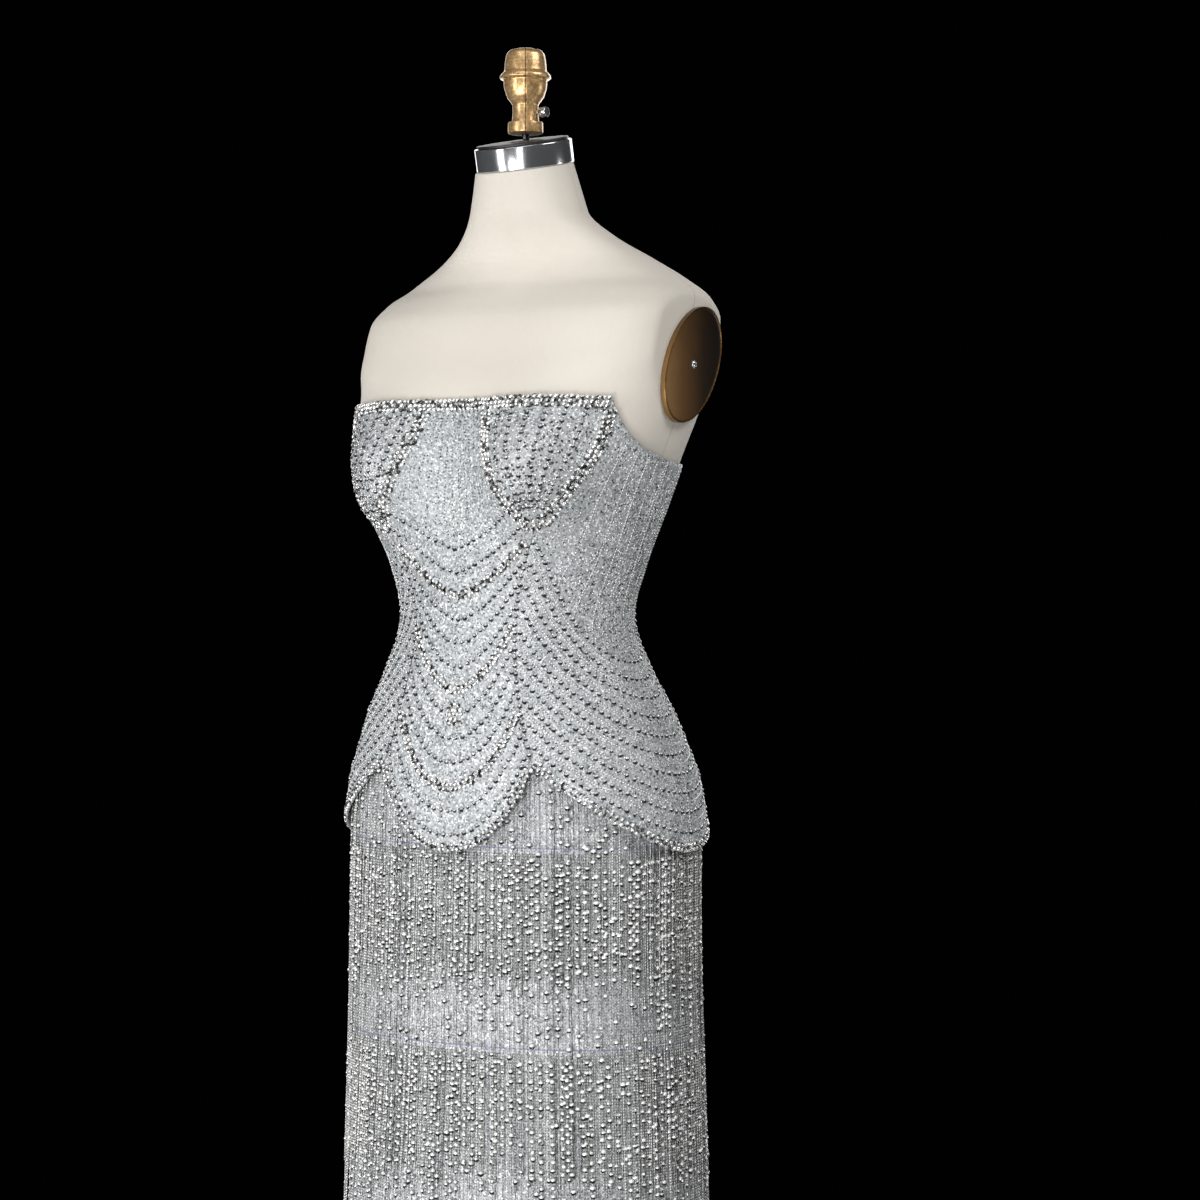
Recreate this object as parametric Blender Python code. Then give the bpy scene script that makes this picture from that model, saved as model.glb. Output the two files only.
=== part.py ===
"""A strapless evening gown with a fringed skirt, worn by a limbless dress form on its stand.

Metres, +Z up. The origin is on the floor under the form's pole. The gown's front faces -Y and
the wearer's left is +X. Round the body a place is given by its turn in degrees, 0 at the centre
front, 90 at the wearer's left side and 180 at the centre back, and by its height.
"""
import math

import bmesh
import bpy
from mathutils import Matrix, Vector

# Heights
HEM_HEIGHT = 0.012
FORM_BOTTOM = 0.790
NECKLINE_HEIGHT = 1.248
UNDERARM_HEIGHT = 1.190
SKIRT_TOP = 0.985
LOBE_TIP = 0.832
LOBE_NOTCH = 0.913

# Cloth layers, as distances out from the figure
SEAM_GAP = 0.0003
SKIRT_EASE = 0.0014
SKIRT_WALL = 0.0012
BODICE_WALL = 0.0016
STRIP_INNER = 0.0036
STRIP_OUTER = 0.0046
STRAND_INNER = 0.0052
STRAND_OUTER = 0.0078

# The figure's sections. The form follows them down to its bottom, the skirt down to its hem.
# Columns: height, half width, depth in front, depth behind, squareness of the oval.
FIGURE = (
    (0.000, 0.186, 0.160, 0.160, 2.20),
    (0.300, 0.178, 0.141, 0.139, 2.28),
    (0.600, 0.171, 0.124, 0.119, 2.34),
    (0.790, 0.168, 0.118, 0.111, 2.35),
    (0.850, 0.168, 0.116, 0.111, 2.35),
    (0.900, 0.162, 0.115, 0.107, 2.35),
    (0.950, 0.148, 0.112, 0.095, 2.35),
    (1.000, 0.124, 0.108, 0.082, 2.30),
    (1.050, 0.110, 0.107, 0.079, 2.15),
    (1.100, 0.122, 0.111, 0.087, 2.20),
    (1.150, 0.139, 0.115, 0.097, 2.35),
    (1.200, 0.155, 0.114, 0.106, 2.50),
    (1.235, 0.166, 0.108, 0.115, 2.55),
    (1.260, 0.171, 0.099, 0.122, 2.70),
    (1.290, 0.173, 0.084, 0.128, 3.30),
    (1.330, 0.172, 0.066, 0.128, 3.40),
    (1.350, 0.165, 0.046, 0.118, 3.10),
    (1.367, 0.146, 0.028, 0.104, 2.60),
    (1.387, 0.115, 0.022, 0.090, 2.30),
    (1.407, 0.084, 0.030, 0.073, 2.10),
    (1.430, 0.060, 0.044, 0.058, 2.00),
    (1.460, 0.049, 0.048, 0.048, 2.00),
    (1.505, 0.046, 0.046, 0.046, 2.00),
)
SECTION_ASPECT = 1.4
ARM_PLANE = 0.1655
NORMAL_STEP_DEGREES = 0.5
NORMAL_STEP_HEIGHT = 0.002

# The bust, as two soft mounds pushed forward. The gown's cups stand a little off the form.
BUST_SIDE = 0.092
BUST_HEIGHT = 1.180
BUST_WIDTH = 0.052
BUST_RISE = 0.062
BUST_FALL = 0.046
BUST_POWER = 2.2
BUST_REACHES_TO = 1.368
FORM_BUST = 0.038
GOWN_BUST = 0.044

# How far the bodice's inside stands off the figure, over the skirt's top and the first fringe
BODICE_STAND_OFF = (
    (0.820, 0.0130),
    (0.860, 0.0110),
    (0.898, 0.0098),
    (0.912, 0.0078),
    (0.935, 0.0056),
    (0.995, 0.0038),
    (1.030, 0.0018),
    (1.300, 0.0018),
)

# Seams on the wearer's left, as (turn, height) from the top down; the right side mirrors them
CUP_OUTLINE = (
    (11.5, 1.2480), (16.6, 1.2070), (25.2, 1.1600), (33.0, 1.1340),
    (43.5, 1.1480), (52.6, 1.1830), (55.2, 1.2150), (53.5, 1.2477),
)
FRONT_SEAM = ((33.0, 1.1340), (28.0, 1.0900), (25.0, 1.0300), (27.0, 0.9600), (30.0, LOBE_NOTCH))
SIDE_SEAM = ((95.0, 1.1940), (96.0, 1.1200), (96.0, 1.0400), (94.0, 0.9300), (92.0, LOBE_TIP))
BACK_SEAM = (
    (138.0, UNDERARM_HEIGHT), (144.0, 1.1100), (147.0, 1.0400), (151.0, 0.9600), (154.0, LOBE_NOTCH),
)
CENTRE_BACK = 180.0
SIDE_TURN = 92.0
ARMHOLE = ((53.5, 1.2477), (56.5, 1.2360), (64.0, 1.2170), (75.0, 1.2040), (95.0, 1.1940))

# Scallops of the peplum's hem: centre turn, half span, power of the curve
LOBES = ((0.0, 30.0, 2.4), (92.0, 62.0, 1.9), (180.0, 26.0, 2.2))

# Mesh steps. Along a seam one degree of turn counts as a fixed length.
METRES_PER_DEGREE = 0.0025
CURVE_DENSITY = 20
CUP_ROWS = 9
CUP_COLUMNS = 6
LOWER_STEPS = 8
PATCH_ROUNDS = 60
FRONT_COLUMNS = 10
SIDE_FRONT_COLUMNS = 9
SIDE_BACK_COLUMNS = 7
BACK_COLUMNS = 5
SKIRT_STEP_DEGREES = 8.0
SKIRT_HEIGHTS = (
    SKIRT_TOP, 0.955, 0.925, 0.890, 0.862, 0.834, 0.795, 0.710, 0.652, 0.470, 0.288, HEM_HEIGHT,
)
FORM_COLUMNS = 36
FORM_HEIGHTS = (
    FORM_BOTTOM, 0.835, 0.875, 0.910, 0.940, 0.970, 1.000, 1.020, 1.040, 1.060, 1.080, 1.103,
    1.127, 1.153, 1.182, 1.212, 1.240, 1.265, 1.290, 1.320, 1.345, 1.360, 1.375, 1.392, 1.410, 1.432,
)

# Beaded ropes that outline the neckline, the cups and the scallops
ROPE_HALF_WIDTH = 0.0042
ROPE_HEIGHT = 0.0034
ROPE_SEAT = 0.0012
ROPE_CREST = 0.45
ROPE_INSET = 0.0050
ROPE_NOTCH_MARGIN = 2.6
ROPE_CLEARANCE = 2.2
NECKLINE_STEPS = 24
CUP_ROPE_STEPS = 26
SCALLOP_STEPS = {"front": 14, "left": 20, "right": 20, "back": 12}

# Fringe: height of the strip's top, height of the strands' ends, steps down a strand
FRINGE_TIERS = (
    (0.923, 0.700, 3),
    (0.838, 0.520, 2),
    (0.656, 0.330, 1),
    (0.474, 0.140, 1),
    (0.292, 0.011, 1),
)
STRANDS_PER_TIER = 40
STRIP_HEIGHT = 0.008
STRAND_WIDTH = 0.0052
STRAND_STEP_OUT = 0.016

# The form's neck, finial, arm plates and stand
NECK_TILT = math.radians(12.6)
NECK_CENTRE = Vector((0.0, -0.002, 1.487))
NECK_RADIUS = 0.0465
BAND_HALF = 0.011
DISC_THICKNESS = 0.0025
DISC_RADIUS = 0.0440
BAND_CHAMFER = 0.0012
NECK_SEGMENTS = 32
ROD_RADIUS = 0.0033
ROD_BOTTOM = 1.5024
FINIAL_BOTTOM = 1.5078
FINIAL_SOCKET = 0.0133
FINIAL = (
    (0.0, 0.0810), (0.0120, 0.0804), (0.0185, 0.0772), (0.0222, 0.0692), (0.0240, 0.0582),
    (0.0243, 0.0527), (0.0215, 0.0472), (0.0170, 0.0372), (0.0135, 0.0292), (FINIAL_SOCKET, 0.0132),
    (0.0165, 0.0112), (0.0167, 0.0007), (0.0155, 0.0), (0.0, 0.0),
)
FINIAL_SEGMENTS = 16
SCREW_HEIGHT = 1.5270
SCREW_HEAD_RADIUS = 0.0048
SCREW_HEAD_LENGTH = 0.0080
SCREW_NECK_RADIUS = 0.0022
SCREW_NECK_LENGTH = 0.0030
SCREW_CHAMFER = 0.0006
PLATE_Y = 0.027
PLATE_Z = 1.283
PLATE_HALF_DEPTH = 0.040
PLATE_HALF_HEIGHT = 0.064
PLATE_LEAN = math.radians(40)
PLATE_THICKNESS = 0.0050
PLATE_RIM = 0.0030
PLATE_DISH = 0.0008
PLATE_CHAMFER = 0.0010
PLATE_SEGMENTS = 28
PLATE_SCREW_RADIUS = 0.0040
PLATE_SCREW_HEIGHT = 0.0022
POLE_RADIUS = 0.015
BASE = (
    (0.0, 0.028), (0.022, 0.028), (0.036, 0.024), (0.128, 0.014), (0.137, 0.008), (0.137, 0.0), (0.0, 0.0),
)
BASE_SEGMENTS = 24

# The zip's slider and pull tab, at the top of the centre-back seam
ZIP_HEIGHT = 1.168
SLIDER_WIDTH = 0.0060
SLIDER_LENGTH = 0.0095
SLIDER_THICKNESS = 0.0016
EAR_THICKNESS = 0.0009
EAR_SPAN = 0.0020
EAR_MARGIN = 0.0014
OVERLAP = 0.0002
PIN_REACH = 0.0038
PIN_RADIUS = 0.0006
TAB_BORE = 0.00095
TAB_BARREL = 0.0018
TAB_HALF_WIDTH = 0.0017
TAB_LENGTH = 0.0220
TAB_THICKNESS = 0.0012

# Finishes: sRGB hex, roughness, metallic
BEADED_SILVER = ("C2C4C5", 0.35, 0.55)
MESH_SILVER = ("BCBCBB", 0.45, 0.30)
LINEN = ("E2DBD1", 0.85, 0.0)
GOLD_WOOD = ("B58A4C", 0.35, 0.60)
CHROME = ("C8C9CB", 0.15, 1.0)
BRONZE = ("4A3822", 0.25, 0.70)
DARK_DISC = ("2B2622", 0.50, 0.0)
BLACK_STEEL = ("2A2A2C", 0.45, 0.80)


def srgb_to_linear(value):
    if value <= 0.04045:
        return value / 12.92
    return ((value + 0.055) / 1.055) ** 2.4


def material(name, finish):
    colour_hex, roughness, metallic = finish
    made = bpy.data.materials.new(name)
    made.use_nodes = True
    shader = made.node_tree.nodes["Principled BSDF"]
    channels = [srgb_to_linear(int(colour_hex[i:i + 2], 16) / 255) for i in (0, 2, 4)]
    shader.inputs["Base Color"].default_value = (*channels, 1.0)
    shader.inputs["Roughness"].default_value = roughness
    shader.inputs["Metallic"].default_value = metallic
    made.diffuse_color = (*channels, 1.0)
    return made


def smooth_lookup(rows, at):
    """Read a table of (place, values...) at a place, with a smooth curve that never overshoots."""
    rows = sorted(rows)
    at = min(max(at, rows[0][0]), rows[-1][0])
    index = next(i for i in range(len(rows) - 1) if at <= rows[i + 1][0])
    low, high = rows[index], rows[index + 1]
    span = high[0] - low[0]
    part = (at - low[0]) / span

    def steepness(row, column):
        slopes = [
            (rows[i + 1][column] - rows[i][column]) / (rows[i + 1][0] - rows[i][0])
            for i in (row - 1, row) if 0 <= i < len(rows) - 1
        ]
        if len(slopes) == 1:
            return slopes[0]
        before, after = slopes
        return 0.0 if before * after <= 0 else 2 * before * after / (before + after)

    values = []
    for column in range(1, len(low)):
        value = (2 * part ** 3 - 3 * part ** 2 + 1) * low[column]
        value += (part ** 3 - 2 * part ** 2 + part) * span * steepness(index, column)
        value += (3 * part ** 2 - 2 * part ** 3) * high[column]
        value += (part ** 3 - part ** 2) * span * steepness(index + 1, column)
        values.append(value)
    return values


def bust_push(x, height, amount):
    """How far the bust pushes a point of the front forward."""
    reach = BUST_RISE if height > BUST_HEIGHT else BUST_FALL
    down = abs(height - BUST_HEIGHT) / reach
    total = 0.0
    for side in (-BUST_SIDE, BUST_SIDE):
        across = abs(x - side) / BUST_WIDTH
        total += math.exp(-across ** BUST_POWER - down ** BUST_POWER)
    return amount * total


def figure_point(turn, height, bust=GOWN_BUST):
    """A point of the figure's smooth surface."""
    half_width, front, back, squareness = smooth_lookup(FIGURE, height)
    angle = math.atan2(SECTION_ASPECT * math.sin(math.radians(turn)), math.cos(math.radians(turn)))
    half_depth = (front + back) / 2
    centre = (back - front) / 2
    side_part = abs(math.sin(angle) / half_width) ** squareness
    depth_part = abs(math.cos(angle) / half_depth) ** squareness
    radius = (side_part + depth_part) ** (-1 / squareness)
    x = radius * math.sin(angle)
    y = centre - radius * math.cos(angle)
    if y < 0 and height < BUST_REACHES_TO:
        y -= bust_push(x, height, bust) * math.sqrt(max(0.0, math.cos(angle)))
    x = max(-ARM_PLANE, min(ARM_PLANE, x)) if height > UNDERARM_HEIGHT else x
    return Vector((x, y, height))


def layer_point(turn, height, out, bust=GOWN_BUST):
    """A point at a distance out from the figure, along its surface normal."""
    step, rise = NORMAL_STEP_DEGREES, NORMAL_STEP_HEIGHT
    across = figure_point(turn + step, height, bust) - figure_point(turn - step, height, bust)
    up = figure_point(turn, height + rise, bust) - figure_point(turn, height - rise, bust)
    return figure_point(turn, height, bust) + across.cross(up).normalized() * out


def add_object(name, vertices, faces, surface):
    """One closed solid from points and faces, with its faces turned outward."""
    mesh = bpy.data.meshes.new(name)
    mesh.from_pydata([tuple(v) for v in vertices], [], faces)
    work = bmesh.new()
    work.from_mesh(mesh)
    bmesh.ops.remove_doubles(work, verts=work.verts, dist=1e-6)
    bmesh.ops.recalc_face_normals(work, faces=work.faces)
    work.to_mesh(mesh)
    work.free()
    mesh.shade_smooth()
    mesh.set_sharp_from_angle(angle=math.radians(40))
    mesh.materials.append(surface)
    made = bpy.data.objects.new(name, mesh)
    bpy.context.collection.objects.link(made)
    return made


def rim_faces(vertices, one, other, shift):
    """The two triangles of a wall's rim, split alike on both sides of a seam."""
    high, low = (one, other) if vertices[one].z >= vertices[other].z else (other, one)
    return [(high, low, low + shift), (high, low + shift, high + shift)]


def wall(name, outer, inner, surface):
    """A cloth wall between two grids of points, rows from the top down and columns by turn."""
    rows, columns = len(outer), len(outer[0])
    vertices = [point for grid in (outer, inner) for row in grid for point in row]
    shift = rows * columns

    def at(row, column, side):
        return side * shift + row * columns + column

    faces = []
    for row in range(rows - 1):
        for column in range(columns - 1):
            lower = ((row + 1, column), (row + 1, column + 1), (row, column + 1))
            upper = ((row + 1, column), (row, column + 1), (row, column))
            for corners in (lower, upper):
                faces.append([at(*corner, 0) for corner in corners])
                faces.append([at(*corner, 1) for corner in reversed(corners)])
    for column in range(columns - 1):
        for row in (0, rows - 1):
            faces += rim_faces(vertices, at(row, column, 0), at(row, column + 1, 0), shift)
    for row in range(rows - 1):
        for column in (0, columns - 1):
            faces += rim_faces(vertices, at(row, column, 0), at(row + 1, column, 0), shift)
    return add_object(name, vertices, faces, surface)


def curve_points(controls, steps):
    """Evenly spaced points on a smooth curve through (turn, height) controls."""
    dense = []
    count = len(controls)
    for index in range(count - 1):
        before = controls[max(index - 1, 0)]
        start, end = controls[index], controls[index + 1]
        after = controls[min(index + 2, count - 1)]
        for step in range(CURVE_DENSITY):
            part = step / CURVE_DENSITY
            dense.append(tuple(
                0.5 * (2 * b + (c - a) * part + (2 * a - 5 * b + 4 * c - d) * part ** 2
                       + (3 * b - a - 3 * c + d) * part ** 3)
                for a, b, c, d in zip(before, start, end, after)))
    dense.append(tuple(controls[-1]))
    lengths = [0.0]
    for (turn_a, height_a), (turn_b, height_b) in zip(dense, dense[1:]):
        across = (turn_b - turn_a) * METRES_PER_DEGREE
        lengths.append(lengths[-1] + math.hypot(across, height_b - height_a))
    found = []
    for step in range(steps + 1):
        target = lengths[-1] * step / steps
        index = next(i for i in range(1, len(lengths)) if lengths[i] >= target - 1e-12)
        part = (target - lengths[index - 1]) / (lengths[index] - lengths[index - 1])
        found.append(tuple(a + (b - a) * part for a, b in zip(dense[index - 1], dense[index])))
    return found


def shifted(points, distance):
    """Points of a seam moved sideways, positive toward greater turn on a seam that runs down."""
    moved = []
    for index, (turn, height) in enumerate(points):
        turn_a, height_a = points[max(index - 1, 0)]
        turn_b, height_b = points[min(index + 1, len(points) - 1)]
        across, down = (turn_b - turn_a) * METRES_PER_DEGREE, height_b - height_a
        scale = distance / math.hypot(across, down)
        moved.append((turn - down * scale / METRES_PER_DEGREE, height + across * scale))
    return moved


def hem_height(turn):
    """Height of the peplum's scalloped hem."""
    turn = abs((turn + 180.0) % 360.0 - 180.0)
    for centre, half_span, power in LOBES:
        if abs(turn - centre) <= half_span:
            return LOBE_TIP + (LOBE_NOTCH - LOBE_TIP) * (abs(turn - centre) / half_span) ** power
    return LOBE_NOTCH


def hem_points(turn_a, turn_b, steps):
    turns = [turn_a + (turn_b - turn_a) * step / steps for step in range(steps + 1)]
    return [(turn, hem_height(turn)) for turn in turns]


def patch(left, right, top, bottom):
    """Fill four edge curves of (turn, height) with a grid, rows from the top down."""
    rows, columns = len(left) - 1, len(top) - 1
    grid = []
    for row in range(rows + 1):
        down = row / rows
        line = []
        for column in range(columns + 1):
            along = column / columns
            place = []
            for axis in (0, 1):
                sides = (1 - along) * left[row][axis] + along * right[row][axis]
                ends = (1 - down) * top[column][axis] + down * bottom[column][axis]
                corners = (1 - down) * ((1 - along) * left[0][axis] + along * right[0][axis])
                corners += down * ((1 - along) * left[-1][axis] + along * right[-1][axis])
                place.append(sides + ends - corners)
            line.append(tuple(place))
        grid.append(line)
    return grid


def relaxed(grid):
    """Even out a patch: each point inside it moves to the middle of its four neighbours."""
    for _ in range(PATCH_ROUNDS):
        for row in range(1, len(grid) - 1):
            for column in range(1, len(grid[0]) - 1):
                around = (
                    grid[row - 1][column], grid[row + 1][column],
                    grid[row][column - 1], grid[row][column + 1],
                )
                grid[row][column] = tuple(sum(place[axis] for place in around) / 4 for axis in (0, 1))
    return grid


def bodice_out(height):
    return smooth_lookup(BODICE_STAND_OFF, height)[0]


def bodice_panel(name, grid, surface):
    """A bodice panel and, for the wearer's right, its mirror image."""
    inner, outer = (
        [[layer_point(turn, height, bodice_out(height) + extra) for turn, height in row] for row in grid]
        for extra in (0.0, BODICE_WALL))
    if "{side}" not in name:
        wall(name, outer, inner, surface)
        return
    wall(name.format(side="left"), outer, inner, surface)
    flip = Matrix.Diagonal((-1.0, 1.0, 1.0))
    mirrored = [[[flip @ point for point in row] for row in side] for side in (outer, inner)]
    wall(name.format(side="right"), *mirrored, surface)


def line_points(start, end, steps):
    return [tuple(a + (b - a) * step / steps for a, b in zip(start, end)) for step in range(steps + 1)]


def bodice(surface):
    """The boned bodice with its peplum, cut in panels from the neckline to the scallops."""
    outline = curve_points(CUP_OUTLINE, 2 * CUP_ROWS)
    middle = CUP_ROWS
    lower = curve_points((outline[middle],) + FRONT_SEAM[1:], LOWER_STEPS)
    front_edge = outline[:middle + 1] + lower[1:]
    side_edge = outline[:middle - 1:-1] + lower[1:]
    rows = len(front_edge) - 1
    half = SEAM_GAP / 2

    front_right = shifted(front_edge, -half)
    front_left = [(-turn, height) for turn, height in front_right]
    front_top = line_points(front_left[0], front_right[0], FRONT_COLUMNS)
    front_hem = hem_points(front_left[-1][0], front_right[-1][0], FRONT_COLUMNS)
    bodice_panel("bodice_front", patch(front_left, front_right, front_top, front_hem), surface)

    cup = shifted(outline, half)
    cup_left, cup_right = cup[:middle + 1], cup[:middle - 1:-1]
    cup_top = line_points(cup_left[0], cup_right[0], CUP_COLUMNS)
    cup_bottom = [cup[middle]] * (CUP_COLUMNS + 1)
    bodice_panel("cup_{side}", relaxed(patch(cup_left, cup_right, cup_top, cup_bottom)), surface)

    side = curve_points(SIDE_SEAM, rows)
    side_front_left, side_front_right = shifted(side_edge, half), shifted(side, -half)
    armhole = curve_points((side_front_left[0],) + ARMHOLE[1:-1] + (side_front_right[0],), SIDE_FRONT_COLUMNS)
    side_hem = hem_points(side_front_left[-1][0], side_front_right[-1][0], SIDE_FRONT_COLUMNS)
    grid = patch(side_front_left, side_front_right, armhole, side_hem)
    bodice_panel("bodice_side_front_{side}", grid, surface)

    back_seam = curve_points(BACK_SEAM, rows)
    side_back_left, side_back_right = shifted(side, half), shifted(back_seam, -half)
    back_top = line_points(side_back_left[0], side_back_right[0], SIDE_BACK_COLUMNS)
    back_hem = hem_points(side_back_left[-1][0], side_back_right[-1][0], SIDE_BACK_COLUMNS)
    grid = patch(side_back_left, side_back_right, back_top, back_hem)
    bodice_panel("bodice_side_back_{side}", grid, surface)

    centre = line_points((CENTRE_BACK, UNDERARM_HEIGHT), (CENTRE_BACK, LOBE_TIP), rows)
    back_left, back_right = shifted(back_seam, half), shifted(centre, -half)
    back_top = line_points(back_left[0], back_right[0], BACK_COLUMNS)
    back_hem = hem_points(back_left[-1][0], back_right[-1][0], BACK_COLUMNS)
    bodice_panel("bodice_back_{side}", patch(back_left, back_right, back_top, back_hem), surface)


def skirt(surface):
    """The column skirt: one front and two backs, from under the peplum to the hem."""
    gap = math.degrees(SEAM_GAP / 2 / FIGURE[0][1])
    panels = (
        ("skirt_front", -SIDE_TURN + gap, SIDE_TURN - gap),
        ("skirt_back_left", SIDE_TURN + gap, CENTRE_BACK - gap),
        ("skirt_back_right", CENTRE_BACK + gap, 360.0 - SIDE_TURN - gap),
    )
    for name, start, end in panels:
        steps = round((end - start) / SKIRT_STEP_DEGREES)
        turns = [start + (end - start) * step / steps for step in range(steps + 1)]
        inner, outer = (
            [[layer_point(turn, height, out) for turn in turns] for height in SKIRT_HEIGHTS]
            for out in (SKIRT_EASE, SKIRT_EASE + SKIRT_WALL))
        wall(name, outer, inner, surface)


def fringe_tier(name, strip_top, strand_end, steps, stagger, surface):
    """A narrow strip round the skirt with strands hanging from its lower edge."""
    strip_bottom = strip_top - STRIP_HEIGHT
    first = strip_bottom - STRAND_STEP_OUT
    levels = [(strip_bottom, STRIP_INNER, STRIP_OUTER)]
    levels += [
        (first + (strand_end - first) * step / steps, STRAND_INNER, STRAND_OUTER)
        for step in range(steps + 1)
    ]
    vertices, strands = [], []
    for strand in range(STRANDS_PER_TIER):
        turn = 360.0 * (strand + stagger) / STRANDS_PER_TIER
        half_turn = math.degrees(STRAND_WIDTH / 2 / (figure_point(turn, strip_top).xy.length * 1.05))
        first_index = len(vertices)
        vertices.append(layer_point(turn, strip_top, STRIP_OUTER))
        vertices.append(layer_point(turn, strip_top, STRIP_INNER))
        for height, back, crest in levels:
            vertices.append(layer_point(turn - half_turn, height, back))
            vertices.append(layer_point(turn, height, crest))
            vertices.append(layer_point(turn + half_turn, height, back))
        strands.append(first_index)
    faces = []
    for index, here in enumerate(strands):
        there = strands[(index + 1) % STRANDS_PER_TIER]
        faces.append((here + 3, there + 3, there, here))
        faces.append((here + 4, here + 2, here + 1, there + 1, there + 2))
        faces.append((here, there, there + 1, here + 1))
        faces.append((there + 3, here + 3, here + 4, there + 2))
        for level in range(len(levels) - 1):
            ring = here + 2 + 3 * level
            for a, b in ((0, 1), (1, 2), (2, 0)):
                faces.append((ring + a, ring + 3 + a, ring + 3 + b, ring + b))
        last = here + 2 + 3 * (len(levels) - 1)
        faces.append((last, last + 2, last + 1))
    add_object(name, vertices, faces, surface)


def rope(name, path, outs, surface):
    """A low beaded rope that follows a path of (turn, height) on the cloth's outside."""
    vertices = []
    for index, ((turn, height), out) in enumerate(zip(path, outs)):
        seat = layer_point(turn, height, out + ROPE_SEAT)
        crest = layer_point(turn, height, out + ROPE_SEAT + ROPE_HEIGHT)
        ahead = path[min(index + 1, len(path) - 1)]
        behind = path[max(index - 1, 0)]
        along = layer_point(*ahead, out) - layer_point(*behind, out)
        rise = crest - seat
        across = along.cross(rise).normalized() * ROPE_HALF_WIDTH
        vertices += [seat - across, crest - across * ROPE_CREST, crest + across * ROPE_CREST, seat + across]
    faces = [(0, 1, 2, 3), tuple(len(vertices) - 4 + i for i in (3, 2, 1, 0))]
    for index in range(len(path) - 1):
        ring = 4 * index
        faces += [(ring + a, ring + 4 + a, ring + 4 + (a + 1) % 4, ring + (a + 1) % 4) for a in range(4)]
    add_object(name, vertices, faces, surface)


def ropes(surface):
    """Ropes of crystals along the straight neckline, round each cup and along each scallop."""
    def outs(path):
        return [bodice_out(height) + BODICE_WALL for _, height in path]

    edge, level = CUP_OUTLINE[-1][0], NECKLINE_HEIGHT - ROPE_INSET
    neckline = line_points((-edge, level), (edge, level), NECKLINE_STEPS)
    rope("neckline_rope", neckline, outs(neckline), surface)
    clear = level - ROPE_CLEARANCE * ROPE_HALF_WIDTH
    outline = [place for place in curve_points(CUP_OUTLINE, CUP_ROPE_STEPS) if place[1] < clear]
    for name, side in (("left", 1), ("right", -1)):
        path = [(side * turn, height) for turn, height in outline]
        rope("cup_rope_" + name, path, outs(path), surface)
    (front, front_half, _), (hip, hip_half, _), (back, back_half, _) = LOBES
    spans = (
        ("front", front, front_half), ("left", hip, hip_half),
        ("right", -hip, hip_half), ("back", back, back_half),
    )
    for name, centre, half_span in spans:
        reach = half_span - ROPE_NOTCH_MARGIN
        hem = hem_points(centre - reach, centre + reach, SCALLOP_STEPS[name])
        path = [(turn, height + ROPE_INSET) for turn, height in hem]
        rope("scallop_rope_" + name, path, outs(path), surface)


def torso(surface):
    """The limbless form: closed below, cut at the neck by a plane that tips forward."""
    normal = Vector((0.0, -math.sin(NECK_TILT), math.cos(NECK_TILT)))
    neck_plane = NECK_CENTRE - normal * (BAND_HALF + SEAM_GAP)
    turns = [360.0 * column / FORM_COLUMNS for column in range(FORM_COLUMNS)]
    rings = [[layer_point(turn, height, 0.0, FORM_BUST) for turn in turns] for height in FORM_HEIGHTS]
    for part in (0.5, 1.0):
        ring = []
        for low, turn in zip(rings[len(FORM_HEIGHTS) - 1], turns):
            top = Vector((low.x, low.y, 0.0)).normalized() * NECK_RADIUS
            top += Vector((NECK_CENTRE.x, NECK_CENTRE.y, 0.0))
            top.z = neck_plane.z - (top.y - neck_plane.y) * normal.y / normal.z
            ring.append(low.lerp(top, part))
        rings.append(ring)
    vertices = [point for ring in rings for point in ring]
    faces = []
    for row in range(len(rings) - 1):
        for column in range(FORM_COLUMNS):
            after = (column + 1) % FORM_COLUMNS
            low, high = row * FORM_COLUMNS, (row + 1) * FORM_COLUMNS
            faces.append((low + column, low + after, high + after, high + column))
    faces.append(tuple(reversed(range(FORM_COLUMNS))))
    faces.append(tuple(range(len(vertices) - FORM_COLUMNS, len(vertices))))
    add_object("form_torso", vertices, faces, surface)


def turned(name, profile, segments, surface):
    """A solid of revolution about Z from a profile of (radius, height)."""
    work = bmesh.new()
    points = [work.verts.new((radius, 0.0, height)) for radius, height in profile]
    edges = [work.edges.new(pair) for pair in zip(points, points[1:])]
    bmesh.ops.spin(
        work, geom=points + edges, cent=(0, 0, 0), axis=(0, 0, 1),
        steps=segments, angle=2 * math.pi, use_merge=True)
    bmesh.ops.remove_doubles(work, verts=work.verts, dist=1e-6)
    bmesh.ops.recalc_face_normals(work, faces=work.faces)
    mesh = bpy.data.meshes.new(name)
    work.to_mesh(mesh)
    work.free()
    mesh.shade_smooth()
    mesh.set_sharp_from_angle(angle=math.radians(35))
    mesh.materials.append(surface)
    made = bpy.data.objects.new(name, mesh)
    bpy.context.collection.objects.link(made)
    return made


def cylinder_profile(radius, low, high, chamfer=0.0):
    if chamfer == 0.0:
        return ((0.0, high), (radius, high), (radius, low), (0.0, low))
    return (
        (0.0, high), (radius - chamfer, high), (radius, high - chamfer),
        (radius, low + chamfer), (radius - chamfer, low), (0.0, low),
    )


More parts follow.
